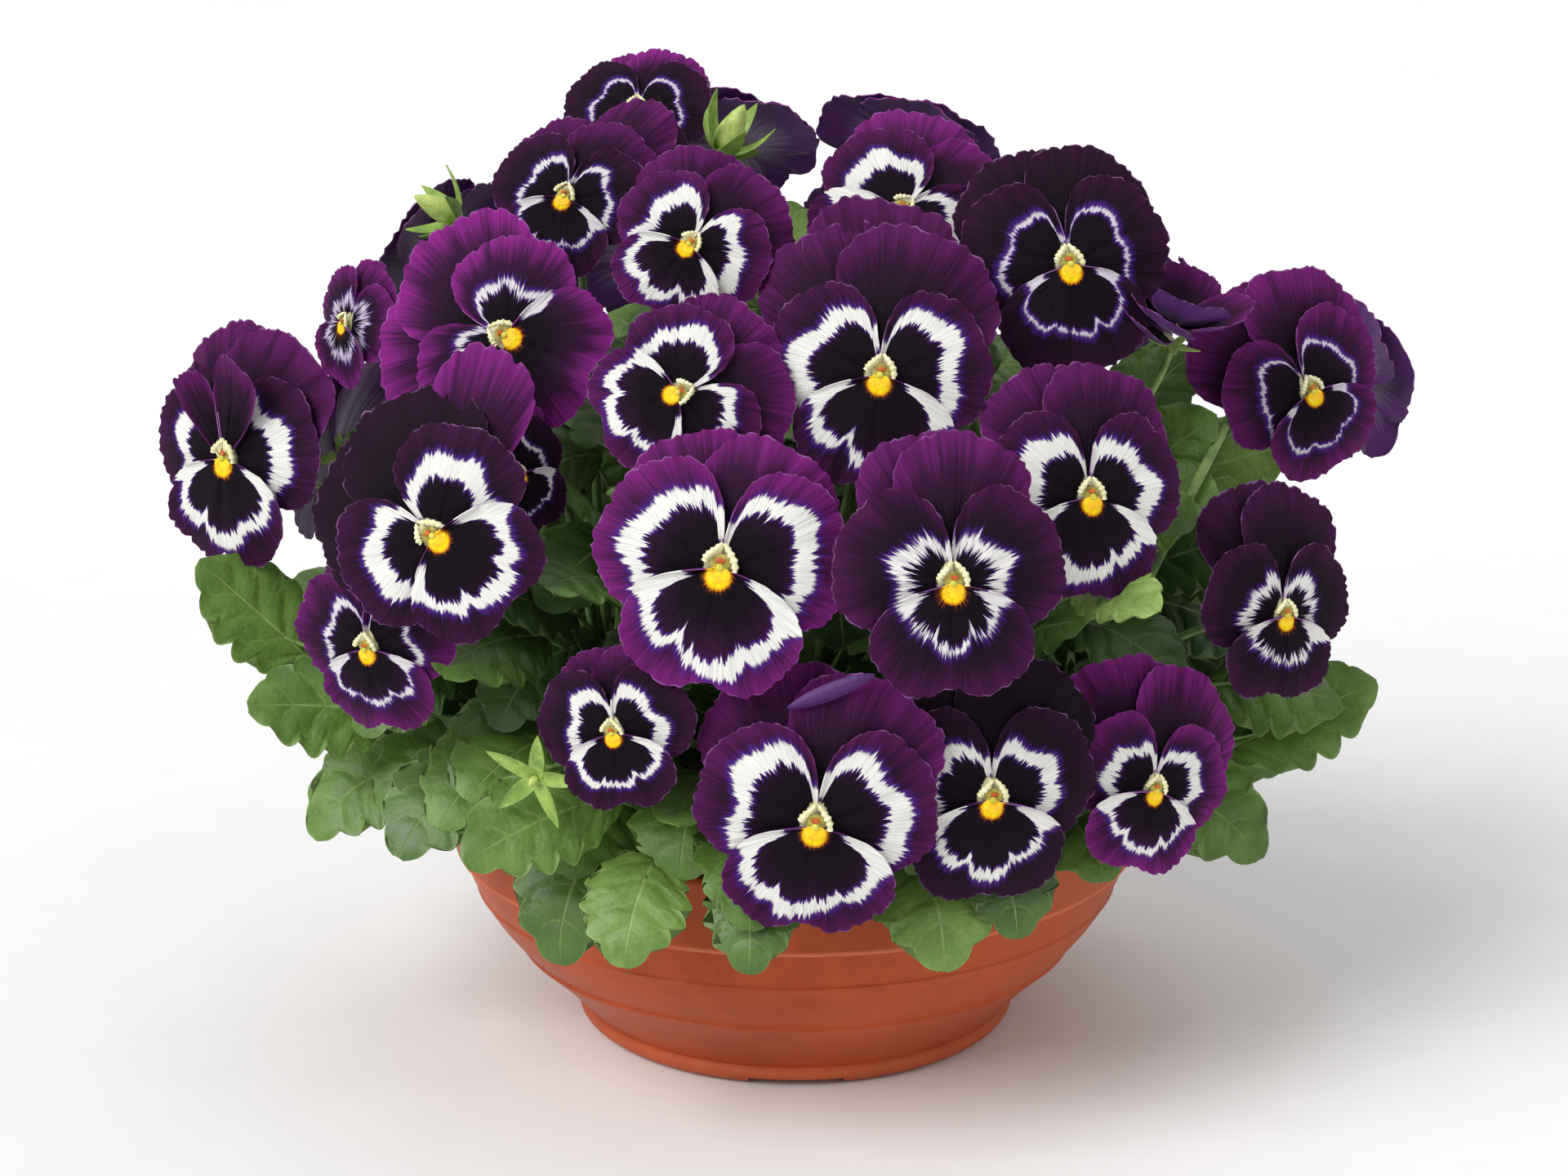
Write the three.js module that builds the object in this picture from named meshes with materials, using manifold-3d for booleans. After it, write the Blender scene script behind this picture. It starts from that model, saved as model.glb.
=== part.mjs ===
// A patio planter: a shallow moulded bowl, filled with potting soil and planted with seven pansies in full flower.
// Millimetres, +Z up. The origin is the middle of the bowl's foot, on the surface that the planter stands on.
// The front of the planting faces -Y.
import * as THREE from "three";
import { mergeVertices } from "three/addons/utils/BufferGeometryUtils.js";
import Module from "manifold-3d";

const wasm = await Module();
wasm.setup();

// ---------- driving dimensions ----------

const BOWL_RIM_RADIUS = 127;
const BOWL_HEIGHT = 96;
const BOWL_FOOT_RADIUS = 73;
const BOWL_WALL = 2.4;
const BOWL_FLOOR_LIFT = 3; // the floor's underside, above the surface
const BOWL_SIDES = 30;
const DRAIN_HOLES = { count: 4, radius: 5, ring: 42 };
const FOOT_NOTCHES = { count: 3, width: 34, height: 1.8, first: 270 };

const SOIL_RIM_HEIGHT = 84;
const SOIL_CROWN_HEIGHT = 91;
const SOIL_GAP = 0.4; // clear of the bowl's inner wall
const SOIL_SIDES = 20;

const PLANT_RING = 74; // how far the six outer plants stand from the middle one
const MIDDLE_REACH = 80; // flowers nearer to the middle than this grow on the middle plant
const STEM_HOLE_RADIUS = 9;
const STEM_HOLE_DEPTH = 24;
const STEM_RADIUS = 7; // a plant's short main stem
const OUTER_STEM_TOP = 128;
const MIDDLE_STEM_TOP = 190;

const LAYER_GAP = 2.5; // from one petal to the next one behind it
const PETAL_THICKNESS = 1.4; // in its middle; a petal thins out towards its rim
const THROAT_RADIUS = 3.6; // the core that the five petals grow from, which ends behind them in a short spur
const THROAT_LIP = 0.6; // how far the core stands out of the front petal
const STALK_RADIUS = 1.5;
const STALK_SET = 2; // a stalk starts this far off its stem's middle
const STALK_STEP = 5; // down the stem from one stalk to the next
const CALYX_SHARE = 0.12; // of the bloom's width
const CALYX_GAP = 0.4; // between a bloom and the calyx that it sits in

const LEAF_THICKNESS = 1.8;
const PETIOLE_RADIUS = 0.85;
const LEAF_FRONT_LEAN = 42; // how far a leaf at the planting's side turns its face to the front

const RAD = Math.PI / 180;

// ---------- colours and finishes ----------

const FINISH = {
  bowl: new THREE.MeshStandardMaterial({ color: 0xb5603f, roughness: 0.45 }),
  soil: new THREE.MeshStandardMaterial({ color: 0x2b1d14, roughness: 0.95 }),
  foliage: new THREE.MeshStandardMaterial({ color: 0x4c7a34, roughness: 0.55 }),
  ringed: new THREE.MeshStandardMaterial({ color: 0x4a1a55, roughness: 0.8 }),
  dark: new THREE.MeshStandardMaterial({ color: 0x2a1030, roughness: 0.8 }),
};

// ---------- the planting ----------

// Each bloom: where its throat is, its width across the three front petals, the reach of its two upper petals in
// half widths, the way that it faces (turn to its right of the front, nod above the level), its roll,
// counter-clockwise as the viewer sees it, and its finish.
const BLOOMS = [
  // the front and the sides
  { name: "bloom_01", at: [-203, -12, 212], size: 80, crest: 1.2, turn: -36, nod: 6, roll: 0, finish: "ringed" },
  { name: "bloom_02", at: [-118, -138, 220], size: 75, crest: 1.3, turn: -14, nod: 12, roll: 52, finish: "ringed" },
  { name: "bloom_03", at: [-97, -84, 274], size: 72, crest: 1.4, turn: -12, nod: 24, roll: 70, finish: "ringed" },
  { name: "bloom_04", at: [-57, 30, 330], size: 56, crest: 1.1, turn: -8, nod: 38, roll: 0, finish: "dark" },
  { name: "bloom_05", at: [-80, -30, 310], size: 58, crest: 1.2, turn: -12, nod: 30, roll: -12, finish: "ringed" },
  { name: "bloom_06", at: [-36, -84, 305], size: 56, crest: 1.3, turn: 0, nod: 22, roll: -34, finish: "ringed" },
  { name: "bloom_07", at: [-39, -126, 265], size: 60, crest: 1.25, turn: -4, nod: 20, roll: -68, finish: "ringed" },
  { name: "bloom_08", at: [35, -46, 309], size: 66, crest: 1.35, turn: 4, nod: 32, roll: -48, finish: "ringed" },
  { name: "bloom_09", at: [27, -112, 267], size: 78, crest: 1.4, turn: 5, nod: 20, roll: -6, finish: "ringed" },
  { name: "bloom_10", at: [92, -66, 294], size: 76, crest: 1.12, turn: 12, nod: 16, roll: 4, finish: "dark" },
  { name: "bloom_11", at: [131, -52, 272], size: 46, crest: 1.1, turn: 40, nod: 68, roll: 30, finish: "ringed" },
  { name: "bloom_12", at: [182, -14, 237], size: 66, crest: 1.3, turn: 24, nod: 6, roll: 22, finish: "dark" },
  { name: "bloom_13", at: [97, -120, 228], size: 72, crest: 1.25, turn: 20, nod: 14, roll: -6, finish: "ringed" },
  { name: "bloom_14", at: [50, -168, 212], size: 78, crest: 1.27, turn: 8, nod: 12, roll: 0, finish: "ringed" },
  { name: "bloom_15", at: [-25, -158, 215], size: 86, crest: 1.05, turn: -3, nod: 14, roll: -8, finish: "ringed" },
  { name: "bloom_16", at: [166, -90, 178], size: 62, crest: 1.4, turn: 28, nod: 6, roll: -8, finish: "ringed" },
  { name: "bloom_17", at: [-144, -112, 173], size: 64, crest: 0.98, turn: -28, nod: -6, roll: 8, finish: "ringed" },
  { name: "bloom_18", at: [-60, -158, 159], size: 55, crest: 1.0, turn: -14, nod: 4, roll: 10, finish: "ringed" },
  { name: "bloom_19", at: [5, -170, 130], size: 82, crest: 1.27, turn: 0, nod: -2, roll: -6, finish: "ringed" },
  { name: "bloom_20", at: [64, -152, 134], size: 76, crest: 1.24, turn: 12, nod: 2, roll: -2, finish: "ringed" },
  { name: "bloom_21", at: [120, -126, 128], size: 61, crest: 1.4, turn: 24, nod: 4, roll: -18, finish: "ringed" },
  { name: "bloom_22", at: [-158, -24, 264], size: 46, crest: 1.0, turn: -52, nod: 10, roll: -10, finish: "dark" },
  { name: "bloom_23", at: [149, 22, 258], size: 56, crest: 1.2, turn: 104, nod: 18, roll: -20, finish: "ringed" },
  { name: "bloom_24", at: [-91, -117, 235], size: 45, crest: 1.3, turn: 36, nod: 14, roll: 20, finish: "ringed" },
  // the back
  { name: "bloom_25", at: [-22, 74, 312], size: 62, crest: 1.2, turn: 176, nod: 34, roll: 8, finish: "ringed" },
  { name: "bloom_26", at: [49, 46, 314], size: 68, crest: 1.2, turn: 152, nod: 34, roll: -12, finish: "dark" },
  { name: "bloom_27", at: [-140, 44, 272], size: 64, crest: 1.2, turn: -122, nod: 16, roll: 10, finish: "ringed" },
  { name: "bloom_28", at: [-52, 118, 262], size: 80, crest: 1.15, turn: -164, nod: 22, roll: -20, finish: "ringed" },
  { name: "bloom_29", at: [40, 122, 258], size: 78, crest: 1.2, turn: 166, nod: 20, roll: 14, finish: "ringed" },
  { name: "bloom_30", at: [118, 84, 256], size: 72, crest: 1.2, turn: 140, nod: 18, roll: -8, finish: "dark" },
  { name: "bloom_31", at: [209, 66, 226], size: 68, crest: 1.1, turn: 130, nod: 8, roll: 6, finish: "ringed" },
  { name: "bloom_32", at: [-178, 62, 196], size: 68, crest: 1.2, turn: -112, nod: 6, roll: 0, finish: "dark" },
  { name: "bloom_33", at: [-112, 132, 190], size: 80, crest: 1.2, turn: -146, nod: 10, roll: 6, finish: "ringed" },
  { name: "bloom_34", at: [2, 168, 186], size: 84, crest: 1.15, turn: 178, nod: 10, roll: -6, finish: "ringed" },
  { name: "bloom_35", at: [108, 140, 182], size: 76, crest: 1.2, turn: 146, nod: 8, roll: 30, finish: "ringed" },
];

// Rings of leaves round the middle, from the skirt over the rim up to the inside of the mound. A leaf leaves its
// petiole at this radius and height, at this pitch above the level, and bends down by this much along its length.
// At the planting's two sides, leaves stand further out by the ring's spread, bend less and lean to the front.
const LEAF_RINGS = [
  { count: 15, radius: 112, spread: 12, height: 110, pitch: 14, bend: 102, length: 58, width: 42, attach: 94 },
  { count: 12, radius: 102, spread: 50, height: 130, pitch: 22, bend: 55, length: 56, width: 42, attach: 104 },
  { count: 12, radius: 96, spread: 34, height: 168, pitch: 40, bend: 50, length: 48, width: 36, attach: 116 },
  { count: 6, radius: 38, spread: 0, height: 234, pitch: 46, bend: 60, length: 46, width: 34, attach: 168 },
  { count: 5, radius: 14, spread: 0, height: 268, pitch: 62, bend: 60, length: 44, width: 32, attach: 184 },
];

// Buds on their own stalks: where the bud's tip is, the way it points, and its length.
const BUDS = [
  { at: [-18, 4, 336], turn: 60, nod: 60, length: 20 },
  { at: [-134, 2, 304], turn: -70, nod: 30, length: 18 },
  { at: [-92, -140, 140], turn: -30, nod: -35, length: 20 },
  { at: [76, 98, 300], turn: 150, nod: 50, length: 18 },
];

// ---------- solids ----------

/** A closed geometry as a solid that can be joined and cut. */
function toSolid(geometry) {
  const bare = (geometry.index ? geometry.toNonIndexed() : geometry.clone()).deleteAttribute("normal");
  const merged = mergeVertices(bare.deleteAttribute("uv"), 1e-3);
  return new wasm.Manifold(
    new wasm.Mesh({
      numProp: 3,
      vertProperties: merged.attributes.position.array,
      triVerts: new Uint32Array(merged.index.array),
    }),
  );
}

/** A solid back as a geometry. */
function toGeometry(solid) {
  const { vertProperties, triVerts } = solid.getMesh();
  const geometry = new THREE.BufferGeometry();
  geometry.setAttribute("position", new THREE.BufferAttribute(new Float32Array(vertProperties), 3));
  geometry.setIndex(new THREE.BufferAttribute(new Uint32Array(triVerts), 1));
  geometry.computeVertexNormals();
  return geometry;
}

function fuse(solids) {
  return solids.reduce((whole, piece) => whole.add(piece));
}

function nodeMesh(name, geometry, finish) {
  const mesh = new THREE.Mesh(geometry, finish);
  mesh.name = name;
  return mesh;
}

/** A number from 0 to 1 that is always the same for the same two numbers. */
function chance(index, salt) {
  const wave = Math.sin(index * 12.9898 + salt * 78.233) * 43758.5453;
  return wave - Math.floor(wave);
}

/** Like chance, from -1 to 1. */
function sway(index, salt) {
  return 2 * chance(index, salt) - 1;
}

/** A direction, turned about the upright from the front and nodding above the level. */
function facing(turn, nod) {
  const level = Math.cos(nod * RAD);
  return new THREE.Vector3(level * Math.sin(turn * RAD), -level * Math.cos(turn * RAD), Math.sin(nod * RAD));
}

// ---------- blades: petals and leaves ----------

/**
 * Joins two runs of points that share both ends, each point with its place "s" from 0 to 1 along the run, into a strip
 * of triangles. The runs hold vertex numbers, and the strip lies to the left of the first run.
 */
function strip(inner, outer) {
  const faces = [];
  let i = 0;
  let o = 0;
  while (i < inner.length - 1 || o < outer.length - 1) {
    const nextInner = i < inner.length - 1 ? inner[i + 1].s : Infinity;
    const nextOuter = o < outer.length - 1 ? outer[o + 1].s : Infinity;
    const stepOuter = nextOuter <= nextInner;
    const third = stepOuter ? outer[o + 1].v : inner[i + 1].v;
    if (new Set([inner[i].v, outer[o].v, third]).size === 3) faces.push([inner[i].v, third, outer[o].v]);
    if (stepOuter) o += 1;
    else i += 1;
  }
  return faces;
}

/**
 * A thin solid that is thickest along its inner points and thins out to nothing at its rim.
 * rim and inner hold points; each inner point has the blade's normal there. faces number the rim's points first.
 */
function blade(rim, inner, faces, thickness) {
  const front = inner.map(({ point, normal }) => point.clone().addScaledVector(normal, thickness / 2));
  const back = inner.map(({ point, normal }) => point.clone().addScaledVector(normal, -thickness / 2));
  const vertices = [...rim, ...front, ...back];
  const behind = (v) => (v < rim.length ? v : v + inner.length);
  const indices = faces.flatMap(([a, b, c]) => [a, b, c, behind(a), behind(c), behind(b)]);
  const geometry = new THREE.BufferGeometry().setFromPoints(vertices).setIndex(indices);
  return toSolid(geometry);
}

// ---------- the bowl and its soil ----------

/** The bowl's outside from the foot up: a foot, a swelling body with two soft steps, and a plain rim band. */
function bowlOutside() {
  return [
    [BOWL_FOOT_RADIUS - 5.5, 0],
    [BOWL_FOOT_RADIUS - 1, 0],
    [BOWL_FOOT_RADIUS + 0.6, 3],
    [79.6, 5],
    [80, 9],
    [92, 22.5],
    [100.8, 31],
    [102.2, 31.6],
    [110.6, 43],
    [116.2, 52.8],
    [117.2, 53.4],
    [121.8, 68],
    [BOWL_RIM_RADIUS - 3.2, 69],
    [BOWL_RIM_RADIUS, 93.5],
    [BOWL_RIM_RADIUS - 1.2, BOWL_HEIGHT],
  ];
}

/** The bowl's inner wall from the rim down to the floor. */
function bowlInside() {
  return [
    [BOWL_RIM_RADIUS - 4.6, BOWL_HEIGHT],
    [120.2, 69],
    [116.4, 57.8],
    [108.8, 44.6],
    [91.4, 26],
    [71, BOWL_FLOOR_LIFT + BOWL_WALL],
  ];
}

function lathe(points, sides) {
  const profile = points.map(([radius, height]) => new THREE.Vector2(radius, height));
  return new THREE.LatheGeometry(profile, sides).rotateX(Math.PI / 2);
}

function upright(radius, height, sides) {
  return new THREE.CylinderGeometry(radius, radius, height, sides).rotateX(Math.PI / 2);
}

function makeBowl() {
  const floorTop = BOWL_FLOOR_LIFT + BOWL_WALL;
  const profile = [[0, BOWL_FLOOR_LIFT], [BOWL_FOOT_RADIUS - 7, BOWL_FLOOR_LIFT], ...bowlOutside()];
  profile.push(...bowlInside(), [0, floorTop]);
  let bowl = toSolid(lathe(profile, BOWL_SIDES));
  for (let i = 0; i < DRAIN_HOLES.count; i += 1) {
    const angle = (i / DRAIN_HOLES.count) * 2 * Math.PI;
    const hole = upright(DRAIN_HOLES.radius, 4 * floorTop, 6);
    hole.translate(DRAIN_HOLES.ring * Math.cos(angle), DRAIN_HOLES.ring * Math.sin(angle), floorTop);
    bowl = bowl.subtract(toSolid(hole));
  }
  for (let i = 0; i < FOOT_NOTCHES.count; i += 1) {
    const angle = (FOOT_NOTCHES.first + (i * 360) / FOOT_NOTCHES.count) * RAD;
    const notch = new THREE.BoxGeometry(30, FOOT_NOTCHES.width, 2 * FOOT_NOTCHES.height);
    notch.translate(BOWL_FOOT_RADIUS, 0, 0).rotateZ(angle);
    bowl = bowl.subtract(toSolid(notch));
  }
  return nodeMesh("bowl", toGeometry(bowl), FINISH.bowl);
}

/** Where the plants stand: one in the middle and six round it. */
function plantSpots() {
  const ring = Array.from({ length: 6 }, (_, i) => (30 + 60 * i) * RAD);
  const outer = ring.map((angle) => new THREE.Vector2(Math.cos(angle), Math.sin(angle)).multiplyScalar(PLANT_RING));
  return [...outer, new THREE.Vector2(0, 0)];
}

function soilHeight(radius) {
  const share = radius / BOWL_RIM_RADIUS;
  return SOIL_CROWN_HEIGHT - (SOIL_CROWN_HEIGHT - SOIL_RIM_HEIGHT) * share * share;
}

function makeSoil() {
  const floor = BOWL_FLOOR_LIFT + BOWL_WALL + SOIL_GAP;
  const side = bowlInside()
    .filter(([, height]) => height < SOIL_RIM_HEIGHT && height > floor)
    .map(([radius, height]) => [radius - 3 * SOIL_GAP, height]);
  const top = [118, 90, 55, 0].map((radius) => [radius, soilHeight(radius)]);
  let soil = toSolid(lathe([[0, floor], [68, floor], ...side.reverse(), ...top], SOIL_SIDES));
  for (const spot of plantSpots()) {
    const hole = upright(STEM_HOLE_RADIUS, 2 * STEM_HOLE_DEPTH, 6);
    hole.translate(spot.x, spot.y, SOIL_CROWN_HEIGHT);
    soil = soil.subtract(toSolid(hole));
  }
  return nodeMesh("soil", toGeometry(soil), FINISH.soil);
}

// ---------- a bloom ----------

// The five petals, from the front one to the back ones. axis points from the throat along the petal, and spread is
// half of its angle; length and back, how far its rim is swept back, are shares of the bloom's radius. A bloom's own
// crest takes the place of the upper petals' length.
const PETALS = [
  { axis: 270, spread: 79, length: 1.0, layer: 0, back: 0.0, notch: 0.13 },
  { axis: 158, spread: 66, length: 0.99, layer: 1, back: 0.03, notch: 0 },
  { axis: 22, spread: 66, length: 0.99, layer: 1, back: 0.03, notch: 0 },
  { axis: 62, spread: 58, length: 1.06, layer: 2, back: 0.07, notch: 0 },
  { axis: 118, spread: 58, length: 1.06, layer: 3, back: 0.09, notch: 0 },
];
const FACE_DOME = 0.13; // how far the rim of the flower's face lies behind its middle, as a share of its radius
const RUFFLES = 7; // waves round the face
const RUFFLE_DEPTH = 0.02;
const RIM_PLACES = [-0.985, -0.87, -0.64, -0.34, 0, 0.34, 0.64, 0.87, 0.985];
const MIDDLE_PLACES = [-0.45, 0.45];

/** How far a petal reaches at this place across it, from -1 to 1, as a share of the bloom's radius. */
function petalReach(petal, across) {
  const fan = (1 - Math.abs(across) ** 3) ** 0.42;
  const nick = 1 - petal.notch * Math.exp(-((across / 0.16) ** 2));
  return petal.length * fan * nick;
}

/** The point of a petal at this place across it and at this share of its reach. */
function petalPoint(petal, across, share, radius) {
  const angle = (petal.axis - across * petal.spread) * RAD;
  const out = petalReach(petal, across) * share;
  const dome = (FACE_DOME + petal.back) * out * out;
  const ruffle = RUFFLE_DEPTH * Math.sin(RUFFLES * angle) * out ** 3;
  const depth = -petal.layer * LAYER_GAP + radius * (ruffle - dome);
  return new THREE.Vector3(radius * out * Math.cos(angle), radius * out * Math.sin(angle), depth);
}

function makePetal(petal, radius) {
  const forward = new THREE.Vector3(0, 0, 1);
  const rim = [petalPoint(petal, 0, 0, radius), ...RIM_PLACES.map((across) => petalPoint(petal, across, 1, radius))];
  const inner = MIDDLE_PLACES.map((across) => petalPoint(petal, across, 0.5, radius));
  const outer = RIM_PLACES.map((across, i) => ({ v: i + 1, s: across }));
  const middle = MIDDLE_PLACES.map((across, i) => ({ v: rim.length + i, s: across }));
  const run = [outer[0], ...middle, outer[outer.length - 1]];
  const faces = strip(run, outer);
  for (let i = 0; i < run.length - 1; i += 1) faces.push([run[i + 1].v, run[i].v, 0]);
  const spots = inner.map((point) => ({ point, normal: forward }));
  return blade(rim, spots, faces, PETAL_THICKNESS);
}

/** How far the back of a bloom's throat lies behind its front. */
function throatDepth() {
  return 3 * LAYER_GAP + 2;
}

function makeBloom({ name, at, size, crest, turn, nod, roll, finish }) {
  const length = throatDepth() + THROAT_LIP;
  const throat = new THREE.CylinderGeometry(THROAT_RADIUS, THROAT_RADIUS, length, 3);
  throat.rotateX(Math.PI / 2).translate(0, 0, THROAT_LIP - length / 2);
  const sized = PETALS.map((petal) => (petal.layer < 2 ? petal : { ...petal, length: crest }));
  const petals = sized.map((petal) => makePetal(petal, size / 2));
  const mesh = nodeMesh(name, toGeometry(fuse([toSolid(throat), ...petals])), FINISH[finish]);
  mesh.rotation.z = roll * RAD;
  const tilted = new THREE.Group().add(mesh);
  tilted.rotation.x = (90 - nod) * RAD;
  const placed = new THREE.Group().add(tilted);
  placed.rotation.z = turn * RAD;
  placed.position.set(...at);
  return placed;
}

// ---------- a plant: main stem, leaves on their petioles, flower stalks and buds ----------

function tube(curve, radius, sides, steps) {
  const section = new THREE.Shape();
  for (let i = 0; i < sides; i += 1) {
    const angle = (i / sides) * 2 * Math.PI;
    if (i === 0) section.moveTo(radius, 0);
    else section.lineTo(radius * Math.cos(angle), radius * Math.sin(angle));
  }
  return toSolid(new THREE.ExtrudeGeometry(section, { steps, extrudePath: curve, bevelEnabled: false }));
}

/** The stalk from a plant's stem, out and up, to the back of a flower, which it meets from behind, as a crook. */
function makeStalk(foot, end, towards) {
  const away = new THREE.Vector3(end.x - foot.x, end.y - foot.y, 0);
  const from = foot.clone().addScaledVector(away, STALK_SET / away.length());
  const rise = from.clone().addScaledVector(away, 0.12 + 6 / away.length());
  rise.z += Math.max(10, 0.5 * (end.z - from.z));
  const behind = end.clone().addScaledVector(towards, -24);
  behind.z -= 5;
  return tube(new THREE.CubicBezierCurve3(from, rise, behind, end), STALK_RADIUS, 4, 4);
}

/** A five-pointed calyx, its points round its open end, which faces the flower. */
function makeCalyx(end, towards, radius) {
  const points = [new THREE.Vector3(0, 0, -5), new THREE.Vector3(0, 0, 0)];
  for (let i = 0; i < 10; i += 1) {
    const angle = (i / 10) * 2 * Math.PI;
    const reach = i % 2 ? 0.42 * radius : radius;
    points.push(new THREE.Vector3(reach * Math.cos(angle), reach * Math.sin(angle), i % 2 ? 0 : -0.6));
  }
  const indices = [];
  for (let i = 0; i < 10; i += 1) {
    const here = 2 + i;
    const next = 2 + ((i + 1) % 10);
    indices.push(0, next, here, 1, here, next);
  }
  const geometry = new THREE.BufferGeometry().setFromPoints(points).setIndex(indices);
  const turnTo = new THREE.Quaternion().setFromUnitVectors(new THREE.Vector3(0, 0, 1), towards);
  return toSolid(geometry.applyQuaternion(turnTo).translate(end.x, end.y, end.z));
}

/** A closed bud: a drop with a point at its tip. */
function makeBud(tip, towards, length) {
  const outline = [[0, 0], [0.5, 0.1], [0.62, 0.35], [0.36, 0.75], [0, 1]];
  const profile = outline.map(([radius, along]) => new THREE.Vector2(radius * 0.42 * length, along * length));
  const drop = new THREE.LatheGeometry(profile, 6).translate(0, -length, 0);
  const turnTo = new THREE.Quaternion().setFromUnitVectors(new THREE.Vector3(0, 1, 0), towards);
  return toSolid(drop.applyQuaternion(turnTo).translate(tip.x, tip.y, tip.z));
}

// A leaf's half width along its length: swelling from the petiole, with rounded teeth down each side.
const LEAF_PLACES = [0.06, 0.24, 0.33, 0.52, 0.61, 0.8, 0.89];
const RIB_PLACES = [0.28, 0.7];

function leafHalfWidth(along, tooth) {
  const swell = Math.sin(Math.PI * along ** 0.86) ** 0.72;
  return swell * (1 + (tooth ? 0.05 : -0.08));
}

/** The place on a leaf, along its length from 0 to 1 and across it in half widths, and the leaf's normal there. */
function leafPoint(leaf, along, across) {
  const pitch = (leaf.pitch - leaf.bend * along) * RAD;
  const start = leaf.pitch * RAD;
  const bend = leaf.bend * RAD;
  const out = (leaf.length * (Math.sin(start) - Math.sin(pitch))) / bend;
  const up = (leaf.length * (Math.cos(pitch) - Math.cos(start))) / bend;
  const outwards = new THREE.Vector3(Math.cos(leaf.azimuth * RAD), Math.sin(leaf.azimuth * RAD), 0);
  const side = new THREE.Vector3(-outwards.y, outwards.x, 0);
  const ahead = outwards.clone().multiplyScalar(Math.cos(pitch)).setZ(Math.sin(pitch));
  const level = new THREE.Vector3().crossVectors(ahead, side);
  const lean = leaf.lean * RAD;
  const tilted = side.clone().multiplyScalar(Math.cos(lean)).addScaledVector(level, Math.sin(lean));
  const normal = level.clone().multiplyScalar(Math.cos(lean)).addScaledVector(side, -Math.sin(lean));
  const width = (across * leaf.width) / 2;
  const point = leaf.base.clone().addScaledVector(outwards, out).addScaledVector(tilted, width);
  point.z += up;
  point.addScaledVector(normal, -0.12 * Math.abs(width));
  return { point, normal };
}

function makeLeaf(leaf) {
  const sideOf = (sign) =>
    LEAF_PLACES.map((along, i) => leafPoint(leaf, along, sign * leafHalfWidth(along, i % 2 === 1)).point);
  const base = leafPoint(leaf, 0, 0).point;
  const tip = leafPoint(leaf, 1, 0).point;
  const left = sideOf(1);
  const right = sideOf(-1);
  const rim = [base, ...left, tip, ...right];
  const inner = RIB_PLACES.map((along) => leafPoint(leaf, along, 0));
  const ends = [{ v: 0, s: 0 }, { v: left.length + 1, s: 1 }];
  const rib = [ends[0], ...RIB_PLACES.map((s, i) => ({ v: rim.length + i, s })), ends[1]];
  const edge = (first) => [ends[0], ...LEAF_PLACES.map((s, i) => ({ v: first + i, s })), ends[1]];
  const leftFaces = strip(rib, edge(1));
  const rightFaces = strip(rib, edge(left.length + 2)).map(([a, b, c]) => [a, c, b]);
  return blade(rim, inner, [...leftFaces, ...rightFaces], LEAF_THICKNESS);
}

/** Every leaf of the planting, by the rule of its ring, with the number of the plant that it grows on. */
function layOutLeaves() {
  return LEAF_RINGS.flatMap((ring, r) =>
    Array.from({ length: ring.count }, (_, i) => {
      const azimuth = (((i + (r ? 0.5 : 0)) * 360) / ring.count + 2 * sway(i, r + 1) + 360) % 360;
      const sideways = Math.cos(azimuth * RAD) ** 4;
      const radius = ring.radius + ring.spread * sideways + 4 * sway(i, r + 11);
      const height = ring.height + (i % 2 ? 4 : -4) + 3 * sway(i, r + 21);
      return {
        plant: ring.radius < PLANT_RING ? 6 : Math.floor(azimuth / 60),
        azimuth,
        base: new THREE.Vector3(radius * Math.cos(azimuth * RAD), radius * Math.sin(azimuth * RAD), height),
        pitch: ring.pitch + 8 * sway(i, r + 31),
        bend: ring.bend * (1 - 0.4 * sideways) + 14 * sway(i, r + 41),
        lean: LEAF_FRONT_LEAN * Math.cos(azimuth * RAD) + 9 * sway(i, r + 51),
        length: ring.length * (1 + 0.12 * sway(i, r + 61)),
        width: ring.width * (1 + 0.08 * sway(i, r + 71)),
        attach: ring.attach,
      };
    }),
  );
}

function makePetiole(leaf, spot) {
  const from = new THREE.Vector3(spot.x, spot.y, leaf.attach);
  const into = leafPoint(leaf, RIB_PLACES[0], 0).point;
  const level = new THREE.Vector3(Math.cos(leaf.azimuth * RAD), Math.sin(leaf.azimuth * RAD), 0);
  const before = leaf.base.clone().addScaledVector(level, -10);
  before.z += 1;
  const rise = from.clone().lerp(before, 0.35);
  rise.z = leaf.attach + 0.6 * (leaf.base.z - leaf.attach);
  return tube(new THREE.CubicBezierCurve3(from, rise, before, into), PETIOLE_RADIUS, 3, 2);
}

/** The plant that a flower at this place grows on. */
function plantFor([x, y]) {
  if (Math.hypot(x, y) < MIDDLE_REACH) return 6;
  const azimuth = (Math.atan2(y, x) / RAD + 360) % 360;
  return Math.floor(azimuth / 60);
}

/** A bloom's stalk ends a little inside the calyx, whose open end faces the bloom. */
function stalkWithCalyx(foot, { at, size, turn, nod }) {
  const towards = facing(turn, nod);
  const end = new THREE.Vector3(...at).addScaledVector(towards, -throatDepth() - CALYX_GAP);
  const into = end.clone().addScaledVector(towards, -2);
  return makeStalk(foot, into, towards).add(makeCalyx(end, towards, CALYX_SHARE * size + 4));
}

function stalkWithBud(foot, { at, turn, nod, length }) {
  const towards = facing(turn, nod);
  const tip = new THREE.Vector3(...at);
  const into = tip.clone().addScaledVector(towards, 2 - length);
  return makeStalk(foot, into, towards).add(makeBud(tip, towards, length));
}

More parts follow.
